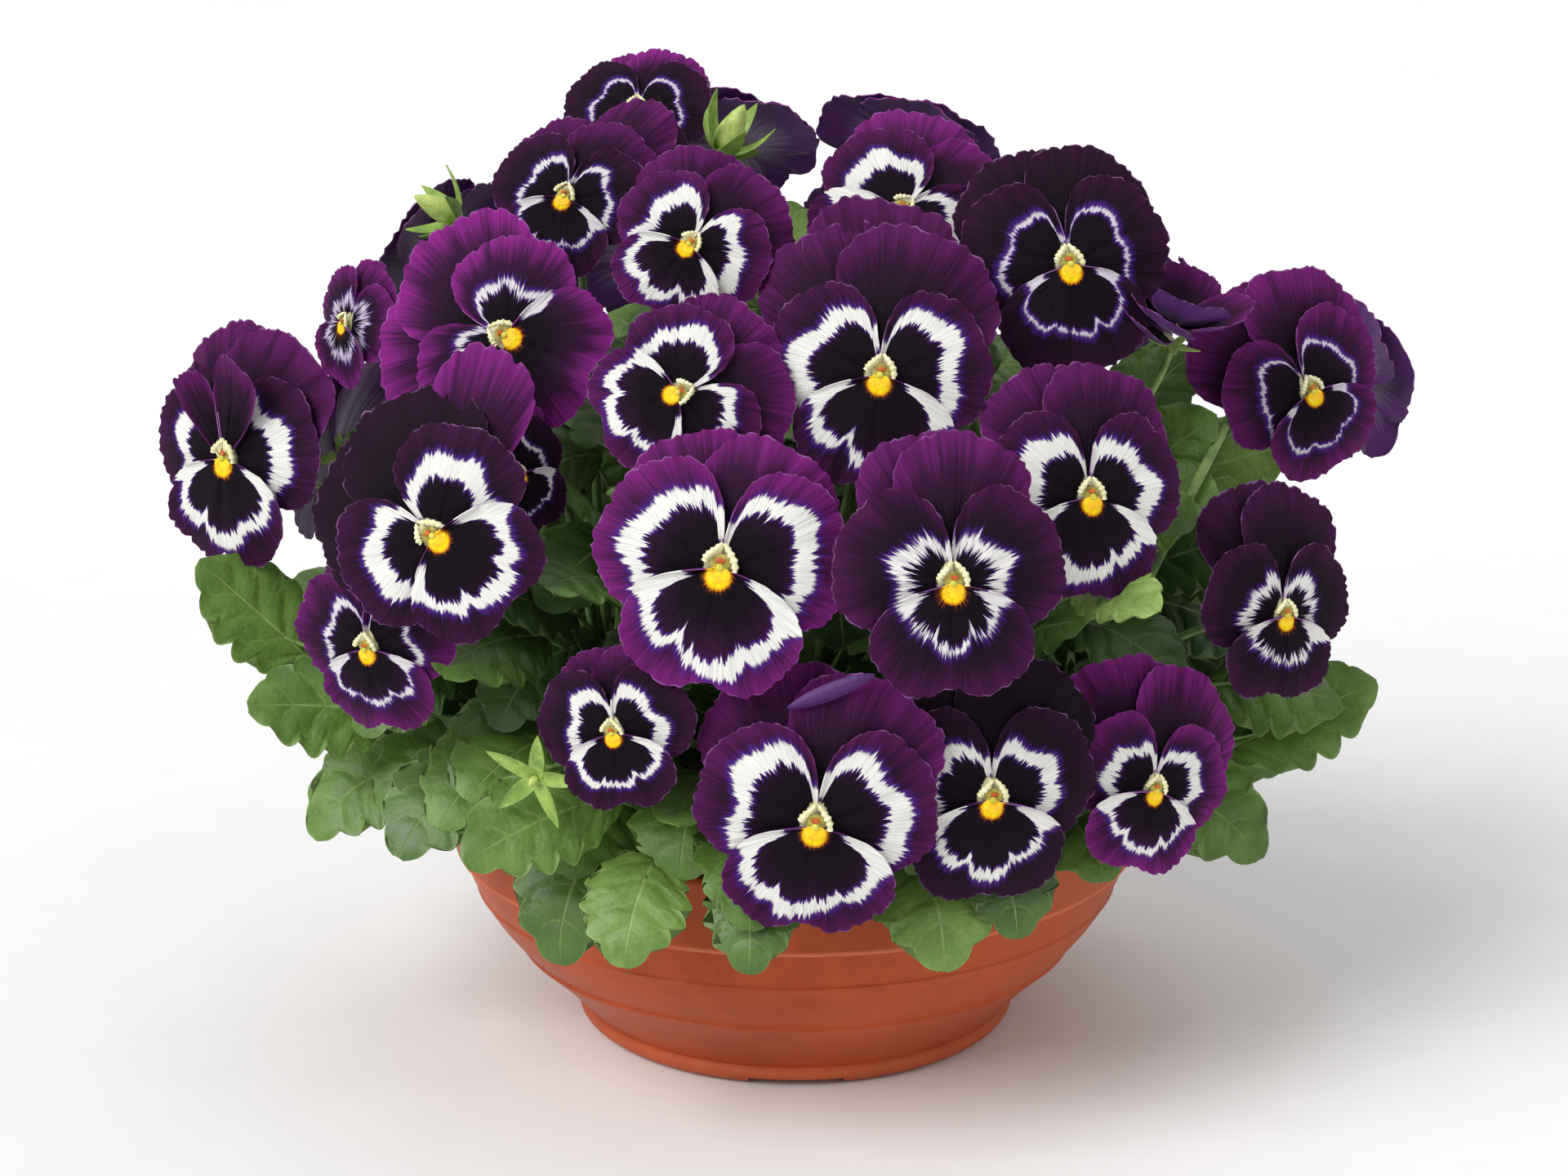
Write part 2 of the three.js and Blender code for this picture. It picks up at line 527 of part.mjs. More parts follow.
function makePlant(number, spot, leaves) {
  const top = number === 6 ? MIDDLE_STEM_TOP : OUTER_STEM_TOP;
  const base = SOIL_CROWN_HEIGHT - STEM_HOLE_DEPTH + 4;
  const stem = new THREE.CylinderGeometry(0.6 * STEM_RADIUS, STEM_RADIUS, top - base, 6).rotateX(Math.PI / 2);
  const grows = (thing) => plantFor(thing.at) === number;
  const foot = (place) => new THREE.Vector3(spot.x, spot.y, top - STALK_STEP * (place + 1));
  const blooms = BLOOMS.filter(grows);
  const solids = [
    toSolid(stem.translate(spot.x, spot.y, (top + base) / 2)),
    ...blooms.map((bloom, i) => stalkWithCalyx(foot(i), bloom)),
    ...BUDS.filter(grows).map((bud, i) => stalkWithBud(foot(blooms.length + i), bud)),
  ];
  for (const leaf of leaves.filter(({ plant }) => plant === number)) {
    solids.push(makePetiole(leaf, spot), makeLeaf(leaf));
  }
  return nodeMesh(`plant_${number + 1}`, toGeometry(fuse(solids)), FINISH.foliage);
}

// ---------- the planter ----------

const planter = new THREE.Group();
const leaves = layOutLeaves();
planter.add(makeBowl(), makeSoil());
plantSpots().forEach((spot, number) => planter.add(makePlant(number, spot, leaves)));
BLOOMS.forEach((bloom) => planter.add(makeBloom(bloom)));

export default planter;
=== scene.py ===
"""The looks of a potted pansy planter: a terracotta-coloured plastic bowl of velvety ringed pansies.

Everything is in metres with +Z up, and the front of the planting faces -Y. The solid model is the fixed frame, and
each finer piece made here stands where the solid that it replaces stands.
"""

import logging
import math
from dataclasses import dataclass, replace
from enum import Enum, IntEnum

import bpy
import numpy as np
from mathutils import Matrix, Vector


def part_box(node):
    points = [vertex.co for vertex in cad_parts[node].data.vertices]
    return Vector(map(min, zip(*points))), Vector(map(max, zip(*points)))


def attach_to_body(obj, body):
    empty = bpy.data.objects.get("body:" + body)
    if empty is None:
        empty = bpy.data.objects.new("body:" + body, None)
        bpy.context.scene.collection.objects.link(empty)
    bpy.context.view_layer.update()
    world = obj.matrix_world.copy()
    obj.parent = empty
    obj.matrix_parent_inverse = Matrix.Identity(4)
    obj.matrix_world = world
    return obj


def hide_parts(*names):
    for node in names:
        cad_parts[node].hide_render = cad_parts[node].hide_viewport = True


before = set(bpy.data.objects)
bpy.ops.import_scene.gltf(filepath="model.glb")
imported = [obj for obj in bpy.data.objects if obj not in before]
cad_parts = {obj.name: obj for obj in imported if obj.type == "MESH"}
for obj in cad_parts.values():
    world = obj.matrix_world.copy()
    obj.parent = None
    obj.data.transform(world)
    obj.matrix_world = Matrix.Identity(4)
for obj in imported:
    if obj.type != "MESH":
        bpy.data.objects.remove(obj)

LOG = logging.getLogger("planter")
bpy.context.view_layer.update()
MM = 0.001
ROOT = "root"

Colour = tuple[float, float, float, float]
Socket = bpy.types.NodeSocket


def paint(red: int, green: int, blue: int) -> Colour:
    """Turns a screen colour into the linear colour that shaders use.

    Args:
        red, green, blue: the screen colour, from 0 to 255.

    Returns:
        The linear colour with full alpha.
    """
    shares = [value / 255 for value in (red, green, blue)]
    linear = [s / 12.92 if s <= 0.04045 else ((s + 0.055) / 1.055) ** 2.4 for s in shares]
    return (*linear, 1.0)


# ---------- node trees ----------

# A Mix node has a set of sockets for each kind of value: these are the factor and the two values of a kind.
MIX_COLOUR_INPUTS = (0, 6, 7)
MIX_COLOUR_OUTPUT = 2
MIX_NUMBER_INPUTS = (0, 2, 3)
PRINCIPLED_NODE = "Principled BSDF"


class Board:
    """A node tree with short calls for wiring it."""

    def __init__(self, tree: bpy.types.NodeTree) -> None:
        """Starts on a tree, whose nodes are added to."""
        self.tree = tree

    def add(self, kind: str, **settings: object) -> bpy.types.Node:
        """Adds a node.

        Args:
            kind: the node's type name.
            settings: properties set on the node.

        Returns:
            The new node.
        """
        node = self.tree.nodes.new(kind)
        for name, value in settings.items():
            setattr(node, name, value)
        return node

    def put(self, socket: Socket, value: object) -> None:
        """Links a socket to another one, or sets it to a plain value.

        Args:
            socket: the input.
            value: the output that feeds it, or its value.
        """
        if isinstance(value, bpy.types.NodeSocket):
            self.tree.links.new(value, socket)
        else:
            socket.default_value = value

    def calc(self, operation: str, *values: object, clamp: bool = False) -> Socket:
        """Does arithmetic on sockets or plain numbers.

        Args:
            operation: the Math node's operation.
            values: its operands in order.
            clamp: keeps the result from 0 to 1.

        Returns:
            The result's socket.
        """
        node = self.add("ShaderNodeMath", operation=operation, use_clamp=clamp)
        for socket, value in zip(node.inputs, values):
            self.put(socket, value)
        return node.outputs[0]

    def ease(self, value: object, low: object, high: object) -> Socket:
        """Rises smoothly from 0 to 1.

        Args:
            value: what it follows.
            low, high: where it is 0 and where it is 1.

        Returns:
            The result's socket.
        """
        node = self.add("ShaderNodeMapRange", interpolation_type="SMOOTHSTEP")
        for name, given in (("Value", value), ("From Min", low), ("From Max", high)):
            self.put(node.inputs[name], given)
        return node.outputs[0]

    def blend(self, share: object, first: object, second: object, kind: str = "MIX") -> Socket:
        """Mixes two colours.

        Args:
            share: how much of the second colour, from 0 to 1.
            first, second: the colours.
            kind: the way they are mixed.

        Returns:
            The mixed colour's socket.
        """
        node = self.add("ShaderNodeMix", data_type="RGBA", blend_type=kind)
        for index, value in zip(MIX_COLOUR_INPUTS, (share, first, second)):
            self.put(node.inputs[index], value)
        return node.outputs[MIX_COLOUR_OUTPUT]

    def vector(self, x: object = 0.0, y: object = 0.0, z: object = 0.0) -> Socket:
        """Joins three numbers in a vector.

        Args:
            x, y, z: the numbers.

        Returns:
            The vector's socket.
        """
        node = self.add("ShaderNodeCombineXYZ")
        for socket, value in zip(node.inputs, (x, y, z)):
            self.put(socket, value)
        return node.outputs[0]

    def noise(self, where: object, scale: object, detail: float = 2.0, roughness: float = 0.5) -> Socket:
        """Soft noise around 0.5.

        Args:
            where: the place that it is read at.
            scale: how fine it is.
            detail: its number of finer layers.
            roughness: how strong they are.

        Returns:
            The noise's socket.
        """
        node = self.add("ShaderNodeTexNoise")
        for name, value in (("Vector", where), ("Scale", scale), ("Detail", detail), ("Roughness", roughness)):
            self.put(node.inputs[name], value)
        return node.outputs["Fac"]

    def field(self, name: str) -> tuple[Socket, Socket, Socket]:
        """Reads one of a piece's fields.

        Args:
            name: the field.

        Returns:
            Its three numbers' sockets.
        """
        source = self.add("ShaderNodeAttribute", attribute_name=name, attribute_type="GEOMETRY")
        parts = self.add("ShaderNodeSeparateXYZ")
        self.put(parts.inputs[0], source.outputs["Vector"])
        return tuple(parts.outputs)

    def place(self, effect: bpy.types.NodeTree, **values: object) -> bpy.types.bpy_prop_collection:
        """Places a shared effect.

        Args:
            effect: the effect's node group.
            values: its inputs by name, with _ for a space.

        Returns:
            Its outputs.
        """
        node = self.add("ShaderNodeGroup", node_tree=effect)
        for name, value in values.items():
            self.put(node.inputs[name.replace("_", " ")], value)
        return node.outputs

    def bump(self, height: Socket, strength: float, distance: float) -> Socket:
        """Turns a height from 0 to 1 into a normal.

        Args:
            height: the height.
            strength: how strongly it shows.
            distance: what a height of 1 is, in metres.

        Returns:
            The normal's socket.
        """
        node = self.add("ShaderNodeBump")
        for name, value in (("Strength", strength), ("Distance", distance), ("Height", height)):
            self.put(node.inputs[name], value)
        return node.outputs[0]


class Effect:
    """A shared effect while it is built: a node group with named inputs and outputs."""

    def __init__(self, name: str, inputs: dict[str, object], outputs: dict[str, str]) -> None:
        """Makes the group and its sockets.

        Args:
            name: the group's name.
            inputs: each input's default, a number, a colour of four numbers, or None for a vector.
            outputs: each output's kind, Float or Color.
        """
        self.tree = bpy.data.node_groups.new(name, "ShaderNodeTree")
        self.board = Board(self.tree)
        for title, default in inputs.items():
            kind = "Vector" if default is None else "Float" if isinstance(default, float) else "Color"
            made = self.tree.interface.new_socket(title, in_out="INPUT", socket_type=f"NodeSocket{kind}")
            if default is not None:
                made.default_value = default
        for title, kind in outputs.items():
            self.tree.interface.new_socket(title, in_out="OUTPUT", socket_type=f"NodeSocket{kind}")
        self.inputs = self.board.add("NodeGroupInput").outputs
        self.outputs = self.board.add("NodeGroupOutput").inputs

    def give(self, **values: Socket) -> bpy.types.NodeTree:
        """Wires the outputs.

        Args:
            values: what each output puts out, by its name.

        Returns:
            The finished group.
        """
        for name, value in values.items():
            self.board.put(self.outputs[name], value)
        return self.tree


def make_streaks() -> bpy.types.NodeTree:
    """Fine streaks that fan out along a petal.

    Returns:
        The effect, which turns Ray and Share into Streak, a value around 0.5.
    """
    effect = Effect("fan_streaks", {"Ray": 0.0, "Share": 0.0, "Fineness": 20.0, "Stretch": 1.0}, {"Streak": "Float"})
    board, given = effect.board, effect.inputs
    across = board.calc("MULTIPLY", given["Ray"], given["Fineness"])
    along = board.calc("MULTIPLY", given["Share"], given["Stretch"])
    return effect.give(Streak=board.noise(board.vector(across, along), 1.0, 3.0, 0.62))


def make_petal_ring() -> bpy.types.NodeTree:
    """The pale band of a pansy's face, with jagged edges and a violet fringe on both.

    Returns:
        The effect, which puts out the masks Band and Fringe.
    """
    inputs = {"Inner": 0.0, "Outer": 0.0, "Ray": 0.0, "Share": 0.0, "Inner Teeth": 0.1, "Outer Teeth": 0.08}
    effect = Effect("petal_ring", inputs, {"Band": "Float", "Fringe": "Float"})
    board, given = effect.board, effect.inputs

    def teeth(fineness: float, stretch: float, offset: float) -> Socket:
        """Noise that is fine across the petal and long along it.

        Args:
            fineness: how many waves it has across the petal.
            stretch: how many it has along it.
            offset: sets one use apart from the others.

        Returns:
            The noise, from about -0.5 to 0.5.
        """
        across = board.calc("MULTIPLY_ADD", given["Ray"], fineness, offset)
        along = board.calc("MULTIPLY", given["Share"], stretch)
        return board.calc("SUBTRACT", board.noise(board.vector(across, along), 1.0, 3.0, 0.75), 0.5)

    length = board.calc("MULTIPLY_ADD", teeth(2.6, 0.3, 90.0), 2.6, 1.0)
    inner_teeth = board.calc("ADD", teeth(15.0, 0.8, 0.0), board.calc("MULTIPLY", teeth(50.0, 2.0, 20.0), 0.3))
    outer_teeth = board.calc("ADD", teeth(20.0, 1.0, 40.0), board.calc("MULTIPLY", teeth(58.0, 2.0, 60.0), 0.4))
    inner_cut = board.calc("MULTIPLY", board.calc("MULTIPLY", inner_teeth, length), given["Inner Teeth"])
    outer_cut = board.calc("MULTIPLY", board.calc("MULTIPLY", outer_teeth, length), given["Outer Teeth"])
    inner = board.calc("SUBTRACT", given["Inner"], inner_cut)
    outer = board.calc("ADD", given["Outer"], outer_cut)
    past_inner = board.ease(inner, 0.0, 0.016)
    before_outer = board.calc("SUBTRACT", 1.0, board.ease(outer, -0.016, 0.016))
    band = board.calc("MULTIPLY", past_inner, before_outer)
    near_inner = board.ease(inner, -0.035, 0.0)
    glare = board.calc("MULTIPLY_ADD", teeth(34.0, 1.0, 70.0), 0.16, outer)
    near_outer = board.calc("SUBTRACT", 1.0, board.ease(glare, 0.0, 0.085))
    fringe = board.calc("MULTIPLY", near_inner, near_outer)
    return effect.give(Band=band, Fringe=board.calc("SUBTRACT", fringe, band, clamp=True))


def make_leaf_veins() -> bpy.types.NodeTree:
    """A midrib and side veins that run forward to the teeth of a leaf's edge.

    Returns:
        The effect, which puts out the mask Vein, the height Swell and the mask Edge.
    """
    inputs = {"Along": 0.0, "Across": 0.0, "Tone": 0.0, "Pairs": 5.0}
    effect = Effect("leaf_veins", inputs, {"Vein": "Float", "Swell": "Float", "Edge": "Float"})
    board, given = effect.board, effect.inputs
    aside = board.calc("ABSOLUTE", given["Across"])
    where = board.vector(board.calc("MULTIPLY", given["Along"], 6.0), given["Across"], given["Tone"])
    drift = board.calc("SUBTRACT", board.noise(where, 1.6, 2.0), 0.5)
    forward = board.calc("MULTIPLY_ADD", board.calc("POWER", aside, 1.25), -0.26, given["Along"])
    phase = board.calc("ADD", board.calc("MULTIPLY", forward, given["Pairs"]), board.calc("MULTIPLY", drift, 0.5))
    away = board.calc("ABSOLUTE", board.calc("SUBTRACT", board.calc("FRACT", phase), 0.5))
    side = board.calc("SUBTRACT", 1.0, board.ease(away, 0.0, 0.075))
    fading = board.calc("SUBTRACT", 1.0, board.calc("MULTIPLY", aside, 0.75))
    tip = board.calc("SUBTRACT", 1.0, board.ease(given["Along"], 0.7, 0.92))
    side = board.calc("MULTIPLY", board.calc("MULTIPLY", side, fading), tip)
    rib_width = board.calc("MULTIPLY_ADD", given["Along"], -0.045, 0.075)
    rib = board.calc("SUBTRACT", 1.0, board.ease(aside, 0.0, rib_width))
    vein = board.calc("MAXIMUM", board.calc("MULTIPLY", side, 0.6), rib)
    between = board.calc("MULTIPLY_ADD", board.calc("SUBTRACT", board.ease(away, 0.0, 0.4), 0.8), tip, 0.8)
    pillow = board.calc("SUBTRACT", between, board.calc("MULTIPLY", rib, 0.5))
    return effect.give(Vein=vein, Swell=pillow, Edge=board.ease(aside, 0.93, 1.0))


def make_mottle() -> bpy.types.NodeTree:
    """Two sizes of soft blotches between two colours.

    Returns:
        The effect, which puts out Color and the mask Patch.
    """
    dark, pale = (0.1, 0.1, 0.1, 1.0), (0.2, 0.2, 0.2, 1.0)
    inputs = {"Where": None, "Scale": 30.0, "Fine Share": 0.35, "Low": dark, "High": pale}
    effect = Effect("mottle", inputs, {"Color": "Color", "Patch": "Float"})
    board, given = effect.board, effect.inputs
    broad = board.noise(given["Where"], given["Scale"], 2.0)
    fine = board.noise(given["Where"], board.calc("MULTIPLY", given["Scale"], 9.0), 3.0, 0.6)
    mixed = board.add("ShaderNodeMix", data_type="FLOAT")
    for index, value in zip(MIX_NUMBER_INPUTS, (given["Fine Share"], broad, fine)):
        board.put(mixed.inputs[index], value)
    patch = board.ease(mixed.outputs[0], 0.35, 0.65)
    return effect.give(Color=board.blend(patch, given["Low"], given["High"]), Patch=patch)


STREAKS = make_streaks()
PETAL_RING = make_petal_ring()
LEAF_VEINS = make_leaf_veins()
MOTTLE = make_mottle()


# ---------- finishes ----------


@dataclass(frozen=True)
class Gloss:
    """How a surface shines: its roughness, its specular level, and its sheen's weight, roughness and tint."""

    roughness: float = 0.5
    specular: float = 0.5
    sheen: float = 0.0
    sheen_roughness: float = 0.3
    sheen_tint: Colour = (1.0, 1.0, 1.0, 1.0)


class Finish:
    """A material while it is built, with its Principled shader and its board."""

    def __init__(self, name: str, gloss: Gloss) -> None:
        """Makes the material and sets what is the same all over it.

        Args:
            name: the material's name.
            gloss: how it shines.
        """
        self.material = bpy.data.materials.new(name)
        self.material.use_nodes = True
        self.board = Board(self.material.node_tree)
        self.shader = self.material.node_tree.nodes[PRINCIPLED_NODE].inputs
        self.shader["Roughness"].default_value = gloss.roughness
        self.shader["Specular IOR Level"].default_value = gloss.specular
        self.shader["Sheen Weight"].default_value = gloss.sheen
        self.shader["Sheen Roughness"].default_value = gloss.sheen_roughness
        self.shader["Sheen Tint"].default_value = gloss.sheen_tint

    def colour(self, value: Socket) -> None:
        """Wires the base colour."""
        self.board.put(self.shader["Base Color"], value)

    def relief(self, height: Socket, strength: float, distance: float) -> None:
        """Wires a bump of that strength, whose full height is that distance in metres."""
        self.board.put(self.shader["Normal"], self.board.bump(height, strength, distance))

    def object_place(self) -> Socket:
        """The place in the piece's own coordinates."""
        return self.board.add("ShaderNodeTexCoord").outputs["Object"]


VELVET = Gloss(0.7, 0.1, 0.035, 0.35, paint(178, 110, 186))


@dataclass(frozen=True)
class PetalFace:
    """The velvety front of a petal: a near-black blotch, a jagged pale band streaked with grey painted shade, a purple
    margin and a thin painted highlight along its rim.

    It reads the fields place (ray, share, lip), ring (inner, outer, eye) and pigment (shade, tint, teeth). lip is 1 on
    the petal that carries the yellow spot and 0 on those round it, whose feet are cream.
    """

    name: str
    blotch: Colour = paint(15, 6, 17)
    margin_deep: Colour = paint(26, 9, 25)
    margin: Colour = paint(54, 16, 55)
    glow: Colour = paint(136, 34, 130)
    fringe: Colour = paint(74, 30, 128)
    band: Colour = paint(230, 229, 223)
    # band_shade is the grey of the lines of painted shade across the pale band.
    band_shade: Colour = paint(176, 172, 176)
    violet_band: Colour = paint(140, 96, 176)
    # rim is the colour of a painted highlight along the petal's edge.
    rim: Colour = paint(168, 120, 178)
    eye: Colour = paint(255, 222, 24)
    eye_edge: Colour = paint(214, 110, 14)
    cream: Colour = paint(238, 234, 190)
    fine_streaks: float = 34.0
    broad_streaks: float = 7.0
    pale_lines: float = 60.0
    whisker_lines: float = 24.0
    relief: float = 0.7 * MM

    def make(self) -> bpy.types.Material:
        """Builds the material.

        Returns:
            The material.
        """
        finish = Finish(self.name, VELVET)
        board = finish.board
        ray, share, lip = board.field("place")
        inner, outer, eye = board.field("ring")
        shade, tint, teeth = board.field("pigment")
        fine = board.place(STREAKS, Ray=ray, Share=share, Fineness=self.fine_streaks, Stretch=1.4)["Streak"]
        broad = board.place(STREAKS, Ray=ray, Share=share, Fineness=self.broad_streaks, Stretch=0.8)["Streak"]
        streaked = board.calc("ADD", share, board.calc("MULTIPLY", board.calc("SUBTRACT", fine, 0.5), 0.42))
        margin = board.blend(board.ease(shade, 0.0, 0.6), self.margin_deep, self.margin)
        colour = board.blend(board.ease(streaked, 0.3, 0.95), self.blotch, margin)
        spread = board.calc("ADD", streaked, board.calc("MULTIPLY", board.calc("SUBTRACT", broad, 0.5), 0.46))
        glow = board.calc("MULTIPLY", board.ease(spread, 0.70, 1.12), shade)
        colour = board.blend(glow, colour, self.glow)
        masks = board.place(
            PETAL_RING, Inner=inner, Outer=outer, Ray=ray, Share=share,
            Inner_Teeth=teeth, Outer_Teeth=board.calc("MULTIPLY", teeth, 0.7),
        )
        colour = board.blend(board.calc("MULTIPLY", masks["Fringe"], 0.85), colour, self.fringe)
        # The pale band is streaked with grey lines of painted shade.
        lines = board.place(STREAKS, Ray=ray, Share=share, Fineness=self.pale_lines, Stretch=1.5)["Streak"]
        pale = board.blend(board.calc("MULTIPLY", board.ease(lines, 0.46, 0.7), 0.7), self.band, self.band_shade)
        pale = board.blend(tint, pale, self.violet_band)
        colour = board.blend(masks["Band"], colour, pale)
        # A painted highlight: a thin pale lilac line along the rim, broken up by the broad streaks.
        rim = board.calc("MULTIPLY", board.ease(share, 0.984, 1.0), board.ease(broad, 0.4, 0.8))
        colour = board.blend(rim, colour, self.rim)
        hairs = board.place(STREAKS, Ray=ray, Share=share, Fineness=self.whisker_lines, Stretch=0.4)["Streak"]
        whiskers = board.calc("MULTIPLY", board.ease(hairs, 0.54, 0.62), lip)
        length = board.calc("MULTIPLY_ADD", teeth, 0.15, 0.008)
        fading = board.calc("SUBTRACT", 0.8, board.ease(eye, 0.0, length))
        whiskers = board.calc("MULTIPLY", whiskers, fading, clamp=True)
        colour = board.blend(whiskers, colour, self.eye_edge)
        ragged = board.calc("MULTIPLY_ADD", board.calc("SUBTRACT", hairs, 0.5), -0.11, eye)
        yolk = board.blend(board.ease(ragged, -0.03, -0.002), self.eye, self.eye_edge)
        heart = board.blend(lip, self.cream, yolk)
        colour = board.blend(board.calc("SUBTRACT", 1.0, board.ease(ragged, -0.006, 0.006)), colour, heart)
        finish.colour(colour)
        finish.relief(board.calc("ADD", fine, board.calc("MULTIPLY", broad, 2.0)), 0.6, self.relief)
        return finish.material


@dataclass(frozen=True)
class PetalBack:
    """The paler, silkier back of a petal, with streaks that run out from its base."""

    name: str
    base: Colour = paint(196, 176, 208)
    edge: Colour = paint(98, 46, 122)
    vein: Colour = paint(66, 30, 90)
    streaks: float = 30.0
    relief: float = 0.4 * MM

    def make(self) -> bpy.types.Material:
        """Builds the material.

        Returns:
            The material.
        """
        finish = Finish(self.name, Gloss(0.5, 0.3, 0.2, 0.4, paint(190, 140, 210)))
        board = finish.board
        ray, share, _ = board.field("place")
        shade, _, _ = board.field("pigment")
        fine = board.place(STREAKS, Ray=ray, Share=share, Fineness=self.streaks, Stretch=1.2)["Streak"]
        streaked = board.calc("ADD", share, board.calc("MULTIPLY", board.calc("SUBTRACT", fine, 0.5), 0.7))
        colour = board.blend(board.ease(streaked, 0.16, 0.8), self.base, self.edge)
        colour = board.blend(board.calc("MULTIPLY", board.ease(fine, 0.5, 0.75), 0.4), colour, self.vein)
        colour = board.blend(board.calc("MULTIPLY", board.calc("SUBTRACT", 1.0, shade), 0.45), colour, self.vein)
        finish.colour(colour)
        finish.relief(fine, 0.4, self.relief)
        return finish.material


@dataclass(frozen=True)
class Flesh:
    """A small soft part with two mottled colours: an eye's lip and beard, a stigma, a stalk, a sepal or a bud."""

    name: str
    low: Colour
    high: Colour
    scale: float = 300.0
    gloss: Gloss = Gloss(0.5, 0.4)
    relief: float = 0.3 * MM

    def make(self) -> bpy.types.Material:
        """Builds the material.

        Returns:
            The material.
        """
        finish = Finish(self.name, self.gloss)
        board = finish.board
        effect = board.place(MOTTLE, Where=finish.object_place(), Scale=self.scale, Low=self.low, High=self.high)
        finish.colour(effect["Color"])
        finish.relief(effect["Patch"], 0.3, self.relief)
        return finish.material


@dataclass(frozen=True)
class LeafGreen:
    """A satin leaf: green with paler veins, a little quilted between them, and lighter where it is young; its deep
    green at the lowest tones stands partly for older leaves and partly for painted shade on the leaves deep in the
    mound.

    It reads the field place (along, across, tone).
    """

    name: str
    deep: Colour = paint(56, 84, 40)
    green: Colour = paint(100, 136, 58)
    young: Colour = paint(146, 176, 92)
    vein: Colour = paint(168, 196, 118)
    shadow: Colour = paint(205, 214, 200)
    blotches: float = 70.0
    relief: float = 0.9 * MM

    def make(self) -> bpy.types.Material:
        """Builds the material.

        Returns:
            The material.
        """
        finish = Finish(self.name, Gloss(0.44, 0.45))
        board = finish.board
        along, across, tone = board.field("place")
        veins = board.place(LEAF_VEINS, Along=along, Across=across, Tone=tone)
        where = finish.object_place()
        mottle = board.place(MOTTLE, Where=where, Scale=self.blotches, Low=(0, 0, 0, 1), High=(1, 1, 1, 1))
        # Low tones give the deep green, which is partly painted shade on the inner leaves.
        colour = board.blend(board.ease(tone, 0.0, 0.5), self.deep, self.green)
        colour = board.blend(board.ease(tone, 0.5, 1.0), colour, self.young)
        darker = board.blend(1.0, colour, self.shadow, "MULTIPLY")
        colour = board.blend(mottle["Patch"], darker, colour)
        lighter = board.blend(0.45, colour, self.vein)
        colour = board.blend(board.calc("MULTIPLY", veins["Vein"], 0.75), colour, lighter)
        colour = board.blend(board.calc("MULTIPLY", veins["Edge"], 0.5), colour, lighter)
        finish.colour(colour)
        fine = board.calc("MULTIPLY", mottle["Patch"], 0.25)
        finish.relief(board.calc("ADD", veins["Swell"], fine), 0.55, self.relief)
        board.put(finish.shader["Roughness"], board.calc("MULTIPLY_ADD", mottle["Patch"], 0.1, 0.38))
        return finish.material


@dataclass(frozen=True)
class Terracotta:
    """Satin moulded plastic in terracotta, with faint turning lines, scuffs of wear, and painted highlights on the
    foot's lip and along the edge of the rim's band.

    Its heights are in metres: the painted highlight on the foot's lip fades out between those of foot, and the painted
    highlight along the edge of the rim's band comes and goes between those of band_start and band_end. lines is the
    number of turning lines in a metre.
    """

    name: str
    low: Colour = paint(160, 68, 32)
    high: Colour = paint(182, 82, 44)
    worn_and_lit: Colour = paint(206, 116, 80)
    foot: tuple[float, float] = (6.2 * MM, 8.4 * MM)
    band_start: tuple[float, float] = (67.2 * MM, 68.0 * MM)
    band_end: tuple[float, float] = (68.8 * MM, 70.0 * MM)
    lines: float = 900.0
    blotches: float = 14.0
    scuffs: float = 160.0
    relief: float = 0.25 * MM

    def make(self) -> bpy.types.Material:
        """Builds the material.

        Returns:
            The material.
        """
        finish = Finish(self.name, Gloss(0.42, 0.16))
        board = finish.board
        where = finish.object_place()
        mottle = board.place(MOTTLE, Where=where, Scale=self.blotches, Fine_Share=0.3, Low=self.low, High=self.high)
        parts = board.add("ShaderNodeSeparateXYZ")
        board.put(parts.inputs[0], where)
        height = parts.outputs[2]
        lines = board.noise(board.vector(0.0, 0.0, board.calc("MULTIPLY", height, self.lines)), 1.0, 3.0, 0.7)
        scuff = board.noise(where, self.scuffs, 4.0, 0.7)
        wear_and_highlight = board.calc("MULTIPLY", board.ease(scuff, 0.62, 0.8), 0.35)
        # Painted highlights, broken up a little by the scuffs: the foot's lip is painted lighter and fades out upwards,
        # and so is a narrow band along the ledge at the edge of the rim's band.
        foot = board.calc("SUBTRACT", 1.0, board.ease(height, *self.foot))
        above, below = board.ease(height, *self.band_start), board.ease(height, *self.band_end)
        painted_highlight = board.calc("ADD", board.calc("MULTIPLY", foot, 0.34), board.calc("SUBTRACT", above, below))
        # This mask paints both the real scuffs of wear and the painted highlights in the worn colour.
        wear_and_highlight = board.calc("MAXIMUM", wear_and_highlight, board.calc("MULTIPLY", painted_highlight, board.calc("ADD", scuff, 0.4)), clamp=True)
        finish.colour(board.blend(wear_and_highlight, mottle["Color"], self.worn_and_lit))
        finish.relief(board.calc("ADD", lines, board.calc("MULTIPLY", scuff, 0.5)), 0.12, self.relief)
        rough = board.calc("MULTIPLY_ADD", mottle["Patch"], 0.1, 0.38)
        board.put(finish.shader["Roughness"], board.calc("MULTIPLY_ADD", wear_and_highlight, 0.4, rough))
        return finish.material


@dataclass(frozen=True)
class Earth:
    """Damp potting soil: dark crumbs with a few paler fibres."""

    name: str
    low: Colour = paint(28, 19, 13)
    high: Colour = paint(74, 54, 38)
    grain: float = 160.0
    relief: float = 1.2 * MM

    def make(self) -> bpy.types.Material:
        """Builds the material.

        Returns:
            The material.
        """
        finish = Finish(self.name, Gloss(0.9, 0.2))
        board = finish.board
        where = finish.object_place()
        crumbs = board.place(MOTTLE, Where=where, Scale=self.grain, Fine_Share=0.5, Low=self.low, High=self.high)
        finish.colour(crumbs["Color"])
        finish.relief(crumbs["Patch"], 0.8, self.relief)
        return finish.material


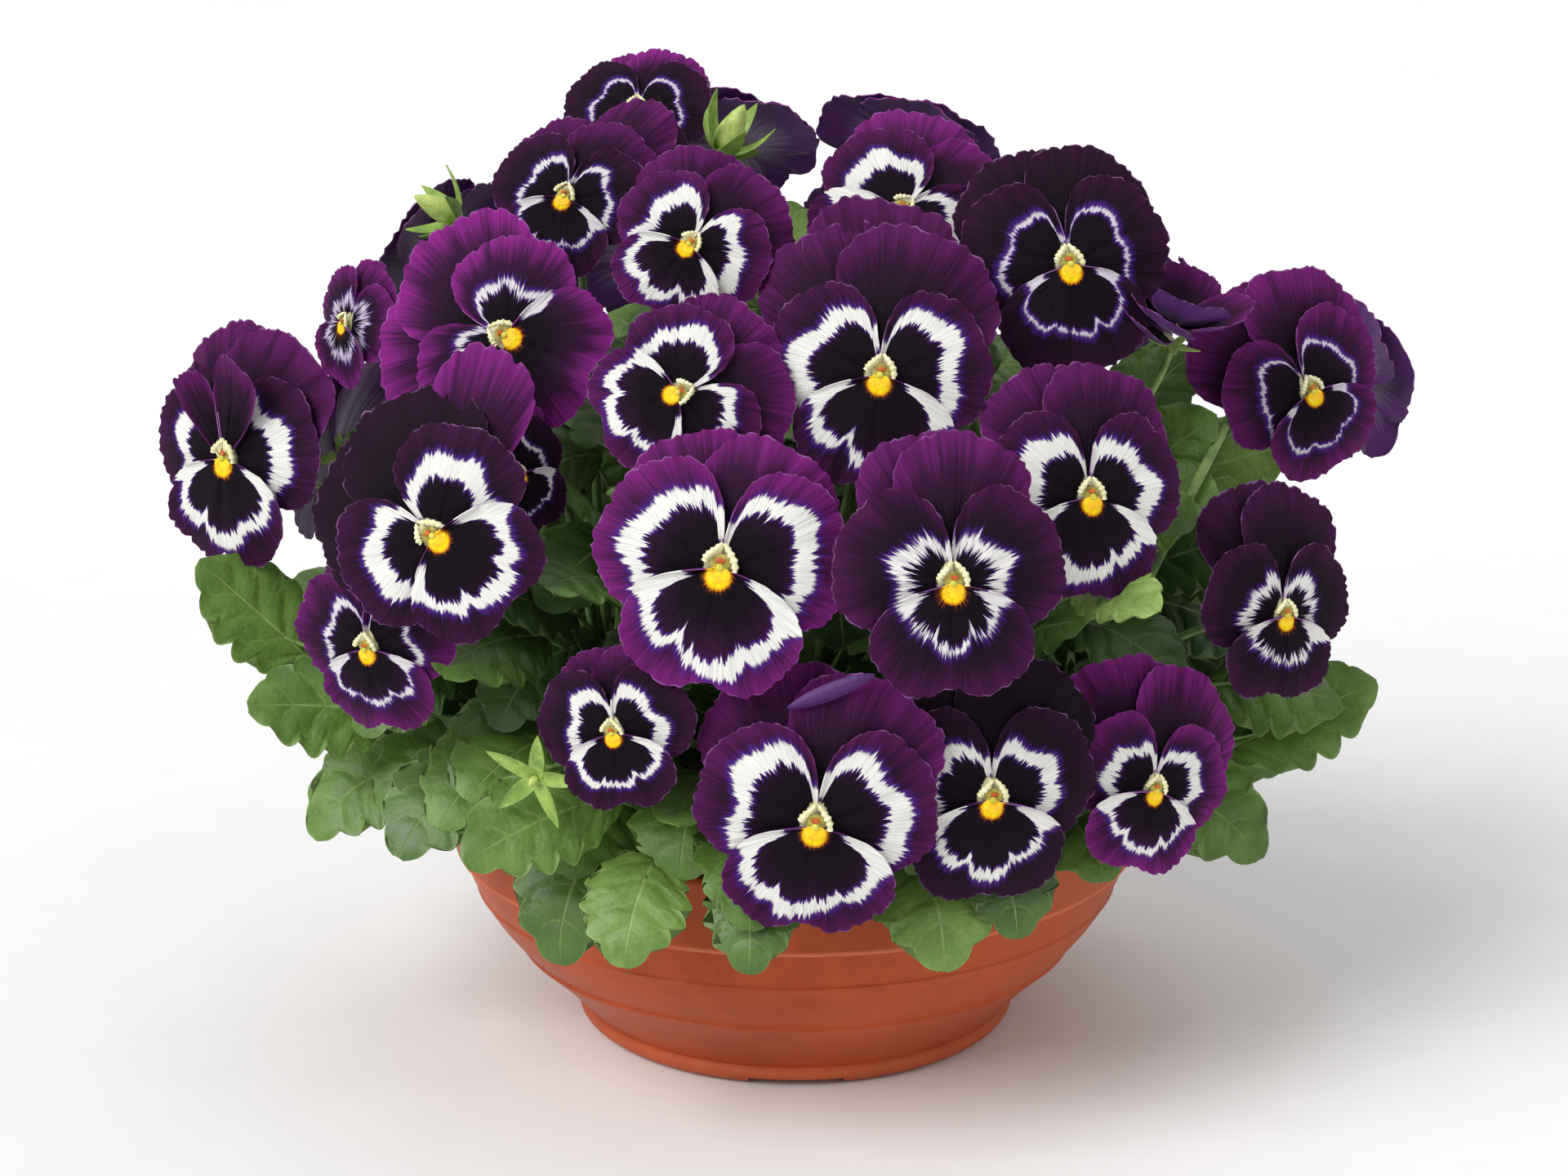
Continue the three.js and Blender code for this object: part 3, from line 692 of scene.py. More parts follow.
@dataclass(frozen=True)
class FloorPaint:
    """A plain pale floor with the faintest unevenness."""

    name: str
    low: Colour = paint(236, 236, 236)
    high: Colour = paint(240, 240, 240)

    def make(self) -> bpy.types.Material:
        """Builds the material.

        Returns:
            The material.
        """
        finish = Finish(self.name, Gloss(0.9, 0.1))
        effect = finish.board.place(MOTTLE, Where=finish.object_place(), Scale=3.0, Low=self.low, High=self.high)
        finish.colour(effect["Color"])
        return finish.material


# ---------- meshes ----------

FIELDS = ("place", "ring", "pigment")
CREASE_ANGLE = 66
BOWL_CREASE_ANGLE = 35
TINY = 1e-9


class Draft:
    """One piece's mesh while it is put together: points, faces, each face's finish and the fields its finishes read."""

    def __init__(self) -> None:
        """Starts empty."""
        self.points: list[np.ndarray] = []
        self.faces: list[tuple[int, ...]] = []
        self.finishes: list[int] = []
        self.fields: dict[str, list[np.ndarray]] = {name: [] for name in FIELDS}
        self.count = 0

    def add(self, points: np.ndarray, faces: list[tuple[int, ...]], finishes: list[int], **fields: np.ndarray) -> None:
        """Adds points and the faces between them.

        Args:
            points: one row of x, y, z for each point.
            faces: each face's points, numbered within this call.
            finishes: each face's finish, by its place in the piece's list.
            fields: each field's rows of three numbers; a missing one is zero.
        """
        start = self.count
        self.points.append(points)
        self.faces.extend(tuple(start + v for v in face) for face in faces)
        self.finishes.extend(finishes)
        for name, rows in self.fields.items():
            rows.append(np.asarray(fields.get(name, np.zeros((len(points), 3)))))
        self.count += len(points)

    def build(self, name: str, finishes: list[bpy.types.Material]) -> bpy.types.Object:
        """Makes the piece.

        Args:
            name: its name.
            finishes: the materials that the finish numbers stand for.

        Returns:
            The new object, in the scene.
        """
        mesh = bpy.data.meshes.new(name)
        mesh.from_pydata(np.concatenate(self.points).tolist(), [], self.faces)
        for material in finishes:
            mesh.materials.append(material)
        mesh.polygons.foreach_set("material_index", self.finishes)
        mesh.polygons.foreach_set("use_smooth", [True] * len(self.faces))
        for field, rows in self.fields.items():
            layer = mesh.attributes.new(field, "FLOAT_VECTOR", "POINT")
            layer.data.foreach_set("vector", np.concatenate(rows).astype(np.float32).ravel())
        mesh.update()
        mesh.set_sharp_from_angle(angle=math.radians(CREASE_ANGLE))
        piece = bpy.data.objects.new(name, mesh)
        bpy.context.scene.collection.objects.link(piece)
        return piece


def unit(vectors: np.ndarray) -> np.ndarray:
    """Vectors along the last axis at length 1."""
    return vectors / np.maximum(np.linalg.norm(vectors, axis=-1, keepdims=True), TINY)


def spread_field(*values: object, shape: tuple[int, ...]) -> np.ndarray:
    """Three numbers or grids as one field over a grid of points."""
    return np.stack([np.broadcast_to(value, shape) for value in values], axis=-1)


def add_blade(
    draft: Draft,
    front: np.ndarray,
    thickness: np.ndarray,
    back_rows: list[int],
    finishes: tuple[int, int, int],
    **fields: np.ndarray,
) -> None:
    """Adds a thin closed solid under a grid of points.

    Args:
        draft: the mesh that it goes to.
        front: the grid, whose rows run outwards and whose columns run across; its front is across x outwards.
        thickness: the solid's thickness at each of its points.
        back_rows: the rows that the back has too, the first and the last among them.
        finishes: the finishes of the front, the back and the edge.
        fields: the fields at the grid's points.
    """
    rows, columns, _ = front.shape
    normal = unit(np.cross(np.gradient(front, axis=1), np.gradient(front, axis=0)))
    back = (front - normal * thickness[..., None])[back_rows]
    ahead = np.arange(rows * columns).reshape(rows, columns)
    behind = rows * columns + np.arange(len(back_rows) * columns).reshape(-1, columns)

    def quads(grid: np.ndarray, flip: bool) -> list[tuple[int, ...]]:
        """The faces between a grid's points.

        Args:
            grid: the points' numbers.
            flip: turns the faces over.

        Returns:
            The faces.
        """
        corners = [grid[:-1, :-1], grid[:-1, 1:], grid[1:, 1:], grid[1:, :-1]]
        order = corners[::-1] if flip else corners
        return [tuple(face) for face in np.stack([c.ravel() for c in order], axis=1).tolist()]

    def strip(first: np.ndarray, second: np.ndarray) -> list[tuple[int, ...]]:
        """The faces between two rows of points."""
        return [tuple(f) for f in np.stack([first[1:], first[:-1], second[:-1], second[1:]], axis=1).tolist()]

    faces = quads(ahead, False)
    kinds = [finishes[0]] * len(faces)
    reverse = quads(behind, True)
    faces += reverse
    kinds += [finishes[1]] * len(reverse)
    edge = strip(ahead[0], behind[0]) + strip(ahead[-1][::-1], behind[-1][::-1])
    edge.append((*ahead[:, 0].tolist(), *behind[::-1, 0].tolist()))
    edge.append((*ahead[::-1, -1].tolist(), *behind[:, -1].tolist()))
    faces += edge
    kinds += [finishes[2]] * len(edge)
    both = {
        name: np.concatenate([grid.reshape(-1, 3), grid[back_rows].reshape(-1, 3)]) for name, grid in fields.items()
    }
    draft.add(np.concatenate([front.reshape(-1, 3), back.reshape(-1, 3)]), faces, kinds, **both)


def bezier(ends: list[np.ndarray], steps: int) -> np.ndarray:
    """Points along a cubic curve.

    Args:
        ends: its start, two handles and end.
        steps: the number of steps.

    Returns:
        steps + 1 points.
    """
    t = np.linspace(0, 1, steps + 1)[:, None]
    start, rise, before, end = ends
    return (1 - t) ** 3 * start + 3 * (1 - t) ** 2 * t * rise + 3 * (1 - t) * t**2 * before + t**3 * end


def wrap(rings: int, sides: int) -> list[tuple[int, ...]]:
    """The faces of a closed shape that is made of rings of points, with a flat face at each end.

    Args:
        rings: the number of rings.
        sides: the number of points in each.

    Returns:
        The faces between the points, which are numbered ring by ring.
    """
    index = np.arange(rings * sides).reshape(rings, sides)
    across = np.roll(index, -1, axis=1)
    quads = np.stack([index[:-1], across[:-1], across[1:], index[1:]], axis=-1).reshape(-1, 4).tolist()
    return [tuple(face) for face in quads] + [tuple(index[0][::-1].tolist()), tuple(index[-1].tolist())]


def add_tube(draft: Draft, path: np.ndarray, radii: object, sides: int, finish: int, tone: float = 0.5) -> None:
    """Adds a closed tube along a path.

    Args:
        draft: the mesh that it goes to.
        path: its middle line.
        radii: its radius, one or for each point.
        sides: its number of sides.
        finish: its finish.
        tone: the tone in its place field.
    """
    ahead = unit(np.gradient(path, axis=0))
    sideways = np.zeros_like(path)
    seed = np.array([0.0, 0.0, 1.0]) if abs(ahead[0][2]) < 0.9 else np.array([1.0, 0.0, 0.0])
    for i, way in enumerate(ahead):
        seed = unit(seed - way * np.dot(seed, way))
        sideways[i] = seed
    level = np.cross(ahead, sideways)
    turns = np.linspace(0, 2 * np.pi, sides, endpoint=False)
    radius = np.broadcast_to(radii, len(path))[:, None, None]
    ring = np.cos(turns)[None, :, None] * sideways[:, None] + np.sin(turns)[None, :, None] * level[:, None]
    points = path[:, None] + radius * ring
    faces = wrap(len(path), sides)
    shape = (len(path), sides)
    place = spread_field(np.linspace(0, 1, len(path))[:, None], turns / np.pi - 1, tone, shape=shape)
    draft.add(points.reshape(-1, 3), faces, [finish] * len(faces), place=place.reshape(-1, 3))


def turn_to(direction: np.ndarray) -> np.ndarray:
    """A rotation matrix that turns +Z to a direction."""
    return np.array(Vector((0, 0, 1)).rotation_difference(Vector(direction)).to_matrix())


def add_drop(
    draft: Draft, outline: list[tuple[float, float]], sides: int, finish: int, turn: np.ndarray, at: np.ndarray
) -> None:
    """Adds a closed turned shape.

    Args:
        draft: the mesh that it goes to.
        outline: its radius and height from end to end, without the two ends on its axis.
        sides: its number of sides.
        finish: its finish.
        turn: the matrix that turns it.
        at: where its zero goes.
    """
    radii, heights = np.array(outline).T
    turns = np.linspace(0, 2 * np.pi, sides, endpoint=False)
    ring = np.stack([np.cos(turns), np.sin(turns), np.zeros(sides)], axis=-1)
    points = radii[:, None, None] * ring + heights[:, None, None] * np.array([0, 0, 1.0])
    faces = wrap(len(outline), sides)
    draft.add(points.reshape(-1, 3) @ turn.T + at, faces, [finish] * len(faces))


def ball(radius: float, squash: float = 1.0, steps: int = 7) -> list[tuple[float, float]]:
    """The outline of a round drop of that radius, squashed in height."""
    angles = np.linspace(-0.46 * np.pi, 0.46 * np.pi, steps)
    return [(radius * math.cos(a), radius * squash * math.sin(a)) for a in angles]


def settle(piece: bpy.types.Object, nodes: list[str]) -> bpy.types.Object:
    """Hands a piece to the frame.

    Args:
        piece: the finished piece, in place.
        nodes: the nodes that it stands for.

    Returns:
        The piece.
    """
    bpy.context.view_layer.update()
    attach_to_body(piece, ROOT)
    if nodes:
        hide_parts(*nodes)
    triangles = sum(len(face.vertices) - 2 for face in piece.data.polygons)
    LOG.info("%s: %d triangles", piece.name, triangles)
    return piece


# ---------- a bloom ----------


class Kind(Enum):
    """Which of a bloom's five petals one is."""

    LOWER = "lower"
    LEFT = "left"
    RIGHT = "right"
    UPPER = "upper"


@dataclass(frozen=True)
class Petal:
    """A petal: its axis and half spread in degrees, its length in radii, and its layer, 0 for the front one.

    back says how strongly it bends back, notch how deep its rim is cut in the middle, and glow how much brighter it is
    than its neighbours.
    """

    kind: Kind
    axis: float
    spread: float
    length: float
    layer: int
    back: float
    notch: float
    glow: float = 0.0


PETALS = (
    Petal(Kind.LOWER, 270, 79, 1.0, 0, 0.0, 0.13),
    Petal(Kind.LEFT, 158, 66, 0.99, 1, 0.03, 0.0),
    Petal(Kind.RIGHT, 22, 66, 0.99, 1, 0.03, 0.0),
    Petal(Kind.UPPER, 62, 58, 1.06, 2, 0.07, 0.0),
    Petal(Kind.UPPER, 118, 58, 1.06, 3, 0.09, 0.0),
)
LAYER_GAP = 2.5 * MM
FACE_DOME = 0.13
RUFFLES = 7
RUFFLE_DEPTH = 0.02
THROAT_RADIUS = 3.6 * MM
THROAT_LIP = 0.6 * MM
THROAT_DEPTH = 3 * LAYER_GAP + 2 * MM
CURL_RISE = -10.5 * MM
EYE_DROP = 0.06
EYE_SPREAD = 0.108

# The places across a petal where its solid's rim has points, the rows of points along a finer petal, and those of
# its rows that its back has too.
RIM_PLACES = np.array([-0.985, -0.87, -0.64, -0.34, 0, 0.34, 0.64, 0.87, 0.985])
SHARES = np.array([0.05, 0.15, 0.28, 0.42, 0.56, 0.69, 0.80, 0.89, 0.95, 0.983, 1.0])
BACK_ROWS = [0, 3, 6, 8, 9, 10]
FRONT_COLUMNS = 96
REAR_COLUMNS = 56

# Each wave of a rim: how often it goes round the bloom, and its weight.
WAVES = ((3.0, 0.9), (7.0, 0.6), (13.0, 0.3), (27.0, 0.12))
NIBBLES = ((37.0, 0.6), (61.0, 0.6), (95.0, 0.5))

# How far from the throat the blotch ends at the edges of the lower petal and of a side one, and how far past the
# beginning of its ring it ends elsewhere, in radii.
LOWER_BLOTCH = 0.25
SIDE_BLOTCH = 0.19
BLOTCH_PAST = 0.04


class BloomFinish(IntEnum):
    """A bloom's finishes, by their place in its list."""

    FACE = 0
    BACK = 1
    LIP = 2
    BEARD = 3
    STIGMA = 4
    GULLET = 5
    MARK = 6


@dataclass(frozen=True)
class Curl:
    """A stretch of a crest's rim that is rolled forwards: its two ends on the face and its depth, in radii.

    share says which part of the petal's back it shows, from its lower edge to its upper one, and shade how light it is.
    """

    start: tuple[float, float]
    end: tuple[float, float]
    depth: float
    share: tuple[float, float] = (0.55, 0.9)
    shade: float = 0.6

    def surface(self, radius: float) -> np.ndarray:
        """Its arched surface, over the crest.

        Args:
            radius: the bloom's.

        Returns:
            A grid of points in the bloom's own frame, whose rows run outwards.
        """
        along, out = np.meshgrid(np.linspace(0, 1, 33), np.linspace(0, 1, 7))
        ends = np.array([self.start, self.end])
        line = ends[0] + along[..., None] * (ends[1] - ends[0])
        way = unit(ends[1] - ends[0])
        depth = self.depth * (4 * along * (1 - along) + 0.01) ** 0.7
        flat = line + ((out - 0.5) * depth)[..., None] * np.array([-way[1], way[0]])
        rise = CURL_RISE + 0.32 * radius * depth * np.sin(np.pi * np.clip(out, 0.04, 1))
        return np.concatenate([radius * flat, rise[..., None]], axis=-1)


@dataclass(frozen=True)
class RingStyle:
    """A pale ring: where it begins and ends on the side petals and on the lower one, its teeth, how violet it is."""

    side: tuple[float, float]
    lower: tuple[float, float]
    teeth: float
    tint: float


class Ring(Enum):
    """The kinds of ring that a bloom's face has."""

    BOLD = RingStyle((0.52, 0.68), (0.61, 0.73), 0.30, 0.0)
    WIDE = RingStyle((0.45, 0.63), (0.58, 0.71), 0.30, 0.0)
    MEDIUM = RingStyle((0.42, 0.56), (0.56, 0.64), 0.28, 0.0)
    STREAKED = RingStyle((0.30, 0.43), (0.43, 0.48), 0.52, 0.05)
    THIN = RingStyle((0.46, 0.53), (0.54, 0.585), 0.26, 0.15)
    VIOLET = RingStyle((0.50, 0.545), (0.55, 0.585), 0.17, 0.3)
    FEATHERED = RingStyle((0.40, 0.48), (0.5, 0.1), 0.42, 0.2)
    BLURRED = RingStyle((0.30, 0.42), (0.36, 0.48), 0.9, 0.45)
    PLAIN = RingStyle((0.5, 0.1), (0.5, 0.1), 0.05, 0.6)


def reach(petal: Petal, across: np.ndarray) -> np.ndarray:
    """How far a petal reaches at each place across it, from -1 to 1, in radii."""
    fan = (1 - np.abs(across) ** 3) ** 0.42
    return petal.length * fan * (1 - petal.notch * np.exp(-((across / 0.16) ** 2)))


def turned(turn: float, nod: float) -> np.ndarray:
    """A direction given by two angles in degrees.

    Args:
        turn: its turn about the upright, from the front.
        nod: how far it rises above the level.

    Returns:
        The direction, at length 1.
    """
    level = math.cos(math.radians(nod))
    way = math.radians(turn)
    return np.array([level * math.sin(way), -level * math.cos(way), math.sin(math.radians(nod))])


@dataclass(frozen=True)
class Bloom:
    """A pansy's flower: its width in millimetres, its crest, the way it faces, its ring and how bright it is.

    shade and crest_shade run from 0, near black, to 1, bright purple. ears say how far the ring's white reaches along
    the lower petal's left and right sides, ruffle how deep the rims' waves are, and cup how far the rims fold
    forwards, in radii. folds are petals that are folded forwards over its face or stand behind it. fan says how far
    its upper petals lean aside and how wide they spread, in degrees. curls are stretches of its crest that are rolled
    forwards.
    """

    number: int
    width: float
    crest: float
    turn: float
    nod: float
    roll: float
    ring: Ring
    shade: float = 0.45
    crest_shade: float = 0.35
    ears: tuple[float, float] = (0.66, 0.66)
    ruffle: float = 1.0
    cup: float = 0.0
    folds: tuple[Petal, ...] = ()
    fan: tuple[float, float] = (28.0, 58.0)
    curls: tuple[Curl, ...] = ()

    @property
    def node(self) -> str:
        """The name of the solid that it stands for."""
        return f"bloom_{self.number:02d}"

    @property
    def radius(self) -> float:
        """Half its width, in metres."""
        return 0.5 * self.width * MM

    @property
    def towards(self) -> np.ndarray:
        """The way that it faces."""
        return turned(self.turn, self.nod)

    def petals(self) -> list[Petal]:
        """Its petals, the upper ones at its own length."""
        return [replace(p, length=self.crest) if p.kind is Kind.UPPER else p for p in PETALS]

    def dressed_petals(self) -> list[Petal]:
        """Its petals as they are seen.

        Returns:
            Its five petals, the upper ones fanned out in its own way, and its folds.
        """
        lean, spread = self.fan
        fanned = [
            replace(p, axis=90 + math.copysign(lean, p.axis - 90), spread=spread) if p.kind is Kind.UPPER else p
            for p in self.petals()
        ]
        return [*fanned, *self.folds]

    def turning(self) -> Matrix:
        """The rotation that puts it in its place.

        Returns:
            The rotation from its own frame, whose face looks along +Z, to the way that it faces.
        """
        turn = Matrix.Rotation(math.radians(self.turn), 4, "Z")
        lean = Matrix.Rotation(math.radians(90 - self.nod), 4, "X")
        return turn @ lean @ Matrix.Rotation(math.radians(self.roll), 4, "Z")

    def surface(self, petal: Petal, across: np.ndarray, share: np.ndarray) -> np.ndarray:
        """The plain domed and softly ruffled shape of a petal, as its solid has it.

        Args:
            petal: the petal.
            across: places across it, from -1 to 1.
            share: shares of its reach.

        Returns:
            The points in the bloom's own frame.
        """
        angle = np.radians(petal.axis - across * petal.spread)
        out = reach(petal, across) * share
        dome = (FACE_DOME + petal.back) * out**2
        ruffle = RUFFLE_DEPTH * np.sin(RUFFLES * angle) * out**3
        depth = -petal.layer * LAYER_GAP + self.radius * (ruffle - dome)
        return np.stack([self.radius * out * np.cos(angle), self.radius * out * np.sin(angle), depth], axis=-1)

    def throat(self) -> np.ndarray:
        """Finds its throat from its solid's box.

        Returns:
            Where its throat is.
        """
        rims = [self.surface(petal, RIM_PLACES, np.ones(len(RIM_PLACES))) for petal in self.petals()]
        core = np.radians([0, 120, 240])
        for height in (THROAT_LIP, -THROAT_DEPTH):
            ends = [THROAT_RADIUS * np.sin(core), -THROAT_RADIUS * np.cos(core), np.full(3, height)]
            rims.append(np.stack(ends, axis=-1))
        shape = np.concatenate(rims) @ np.array(self.turning().to_3x3()).T
        low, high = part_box(self.node)
        return 0.5 * (np.array(low) + np.array(high)) - 0.5 * (shape.min(axis=0) + shape.max(axis=0))

    def ring_field(self, petal: Petal, across: np.ndarray, out: np.ndarray) -> tuple[np.ndarray, np.ndarray]:
        """How far each point lies beyond the blotch and beyond the band, in radii.

        Args:
            petal: the petal.
            across: each point's place across it.
            out: each point's distance from the throat, in radii.

        Returns:
            The distances beyond the blotch's edge and beyond the band's.
        """
        if petal.kind is Kind.UPPER:
            return np.full_like(out, -1.0), np.full_like(out, 1.0)
        slow = 0.025 * np.sin(5 * across + self.number)
        fast = 0.015 * np.sin(11 * across + 2.3 * self.number + petal.layer)
        if petal.kind is Kind.LOWER:
            blotch, band = self.lower_ring(across, slow + fast)
        else:
            blotch, band = self.side_ring(across if petal.kind is Kind.LEFT else -across, slow + fast)
        return out - blotch, out - band

    def lower_ring(self, across: np.ndarray, wobble: np.ndarray) -> tuple[np.ndarray, np.ndarray]:
        """The lower petal's ring, with a dip on both sides of its middle and an ear at both ends.

        Args:
            across: places across the petal.
            wobble: the ring's unevenness there.

        Returns:
            Where the blotch and the band end, in radii.
        """
        begin, end = self.ring.value.lower
        aside = np.abs(across)
        dip = 0.27 + 0.03 * math.sin(3.1 * self.number)
        deep = np.where(across > 0, 0.22 + 0.1 * math.sin(self.number), 0.22 - 0.1 * math.sin(1.7 * self.number))
        lobes = 1 - deep * np.exp(-(((aside - dip) / 0.05) ** 2)) + 0.05 * np.exp(-((across / 0.14) ** 2))
        closing = np.clip(1 - (aside / 0.84) ** 6, 0, 1) ** 0.7
        blotch = LOWER_BLOTCH + (begin + BLOTCH_PAST - LOWER_BLOTCH) * lobes * closing + wobble * closing
        ear = np.where(across > 0, self.ears[0], self.ears[1])
        towards_ear = np.clip((aside - 0.62) / 0.25, 0, 1)
        widening = towards_ear**2 * (3 - 2 * towards_ear)
        band = blotch + (end - begin) * (1 + 6 * wobble)
        return blotch, band * (1 - widening) + np.maximum(ear, blotch + 0.02) * widening

    def side_ring(self, upwards: np.ndarray, wobble: np.ndarray) -> tuple[np.ndarray, np.ndarray]:
        """A side petal's ring, which closes in towards the upper petals.

        Args:
            upwards: places across the petal, towards the upper petals.
            wobble: the ring's unevenness there.

        Returns:
            Where the blotch and the band end, in radii.
        """
        begin, end = self.ring.value.side
        closing = np.clip(1 - np.clip(upwards / 0.86, 0, 1) ** 5, 0, 1) ** 0.55
        blotch = SIDE_BLOTCH + (begin + BLOTCH_PAST - SIDE_BLOTCH) * closing + wobble
        return blotch, blotch + (end - begin) * (1 + 8 * wobble + 0.3 * np.clip(upwards, 0, 1) ** 3)

    def eye_field(self, petal: Petal, angle: np.ndarray, out: np.ndarray) -> np.ndarray:
        """How far each point lies beyond the pale heart of the flower, in radii.

        Args:
            petal: the petal.
            angle: each point's direction from the throat.
            out: each point's distance from the throat, in radii.

        Returns:
            The distances beyond the heart's edge.
        """
        if petal.kind is Kind.LOWER:
            down = angle - 1.5 * np.pi
            return out - (EYE_DROP * np.cos(down) + np.sqrt(EYE_SPREAD**2 - (EYE_DROP * np.sin(down)) ** 2))
        return out - (0.12 + 0.07 * np.clip(np.sin(angle), 0, 1) ** 6)

    def add_petal(self, draft: Draft, petal: Petal, draw: np.random.Generator) -> None:
        """Adds a petal with its crinkled rim.

        Args:
            draft: the mesh that it goes to.
            petal: the petal.
            draw: where its small irregularities are drawn from.
        """
        columns = FRONT_COLUMNS if abs(self.turn) < 90 else REAR_COLUMNS
        t = np.linspace(-1, 1, columns + 1)
        across, share = np.meshgrid(np.sin(0.5 * np.pi * RIM_PLACES[-1] * t), SHARES)
        angle = np.radians(petal.axis - across * petal.spread)
        out = reach(petal, across) * share
        waves = np.zeros_like(angle)
        for count, weight in WAVES:
            waves += weight * np.sin(count * angle + draw.uniform(0, 2 * np.pi))
        nibble = np.zeros_like(angle)
        for count, weight in NIBBLES:
            nibble += weight * np.sin(count * angle + draw.uniform(0, 2 * np.pi))
        rim = share**6
        points = self.surface(petal, across, share)
        bite = 0.016 * np.minimum(nibble, 0.5) + 0.014 * np.sin(11 * angle + draw.uniform(0, 6))
        points[..., :2] *= (1 + rim * bite)[..., None]
        points[..., 2] += self.cup * self.radius * out**2
        points[..., 2] += self.ruffle * self.radius * (0.026 * waves * share**3 + 0.007 * nibble * rim)
        fold = np.exp(-((across / 0.11) ** 2)) * share * (1 - share)
        cup = np.cos(np.pi * across) * share * (1 - share)
        points[..., 2] += self.radius * (0.10 * cup - 0.10 * fold)
        thickness = MM * (0.75 - 0.4 * share**2) * np.ones_like(out)
        inner, outer = self.ring_field(petal, across, out)
        lip = 1.0 if petal.kind is Kind.LOWER else 0.0
        shade = petal.glow + (self.crest_shade if petal.kind is Kind.UPPER else self.shade)
        style = self.ring.value
        shape = out.shape
        ray = angle + 10 * petal.layer + 50 * self.number
        add_blade(
            draft, points, thickness, BACK_ROWS, (BloomFinish.FACE, BloomFinish.BACK, BloomFinish.FACE),
            place=spread_field(ray, share, lip, shape=shape),
            ring=spread_field(inner, outer, self.eye_field(petal, angle, out), shape=shape),
            pigment=spread_field(shade, style.tint, style.teeth, shape=shape),
        )

    def add_curl(self, draft: Draft, curl: Curl) -> None:
        """Adds a rolled stretch of its crest's rim, which shows the petal's back.

        Args:
            draft: the mesh that it goes to.
            curl: the stretch.
        """
        points = curl.surface(self.radius)
        shape = points.shape[:2]
        ray, share = np.linspace(0, 1, shape[1])[None, :], np.linspace(*curl.share, shape[0])[:, None]
        add_blade(
            draft, points, np.full(shape, 0.4 * MM), list(range(shape[0])), (BloomFinish.BACK,) * 3,
            place=spread_field(ray, share, 0.0, shape=shape),
            pigment=spread_field(curl.shade, 0.0, 0.0, shape=shape),
        )

    def add_eye(self, draft: Draft) -> None:
        """Adds the yellow lip, the two cream beards over the throat and the stigma.

        Args:
            draft: the mesh that they go to.
        """
        r = self.radius
        level, wide = np.eye(3), np.diag([1.12, 0.8, 1.0])
        add_drop(draft, ball(0.082 * r, 0.1), 20, BloomFinish.LIP, wide, np.array([0, -0.045 * r, 0.1 * MM]))
        sway_by = 0.012 * r * math.sin(2.3 * self.number)
        for side in (-1, 1):
            path = bezier(
                [
                    np.array([side * 0.118 * r, (0.02 - 0.03 * side) * r, -0.3 * MM]),
                    np.array([side * 0.12 * r + sway_by, 0.085 * r, 0.5 * MM]),
                    np.array([side * 0.06 * r + sway_by, 0.125 * r, 0.4 * MM]),
                    np.array([side * 0.012 * r + sway_by, 0.19 * r, -0.4 * MM]),
                ],
                14,
            )
            taper = 0.35 + 0.65 * np.sin(np.linspace(0.7, 2.9, len(path)))
            knots = 1 + 0.3 * np.sin(2.1 * np.arange(len(path)) + self.number + side)
            add_tube(draft, path, 0.027 * r * taper * knots, 9, BloomFinish.BEARD)
        gullet, stigma = np.array([sway_by, 0.035 * r, -0.1 * MM]), np.array([0, 0.012 * r, 0.6 * MM])
        add_drop(draft, ball(0.078 * r, 0.12), 14, BloomFinish.GULLET, level, gullet)
        add_drop(draft, ball(0.03 * r, 0.5), 12, BloomFinish.STIGMA, level, stigma)
        mark, wide = np.array([sway_by, 0.06 * r, 0.5 * MM]), np.diag([1.3, 0.8, 1.0])
        add_drop(draft, ball(0.028 * r, 0.5), 10, BloomFinish.MARK, wide, mark)

    def build(self, wardrobe: "Wardrobe") -> bpy.types.Object:
        """Builds the bloom in its place.

        Args:
            wardrobe: the finishes.

        Returns:
            The piece that stands for the bloom's solid.
        """
        draw = np.random.default_rng(self.number)
        draft = Draft()
        for petal in self.dressed_petals():
            self.add_petal(draft, petal, draw)
        for curl in self.curls:
            self.add_curl(draft, curl)
        self.add_eye(draft)
        piece = draft.build(f"pansy_{self.number:02d}", wardrobe.bloom_finishes())
        piece.data.transform(Matrix.Translation(Vector(self.throat())) @ self.turning())
        return settle(piece, [self.node])


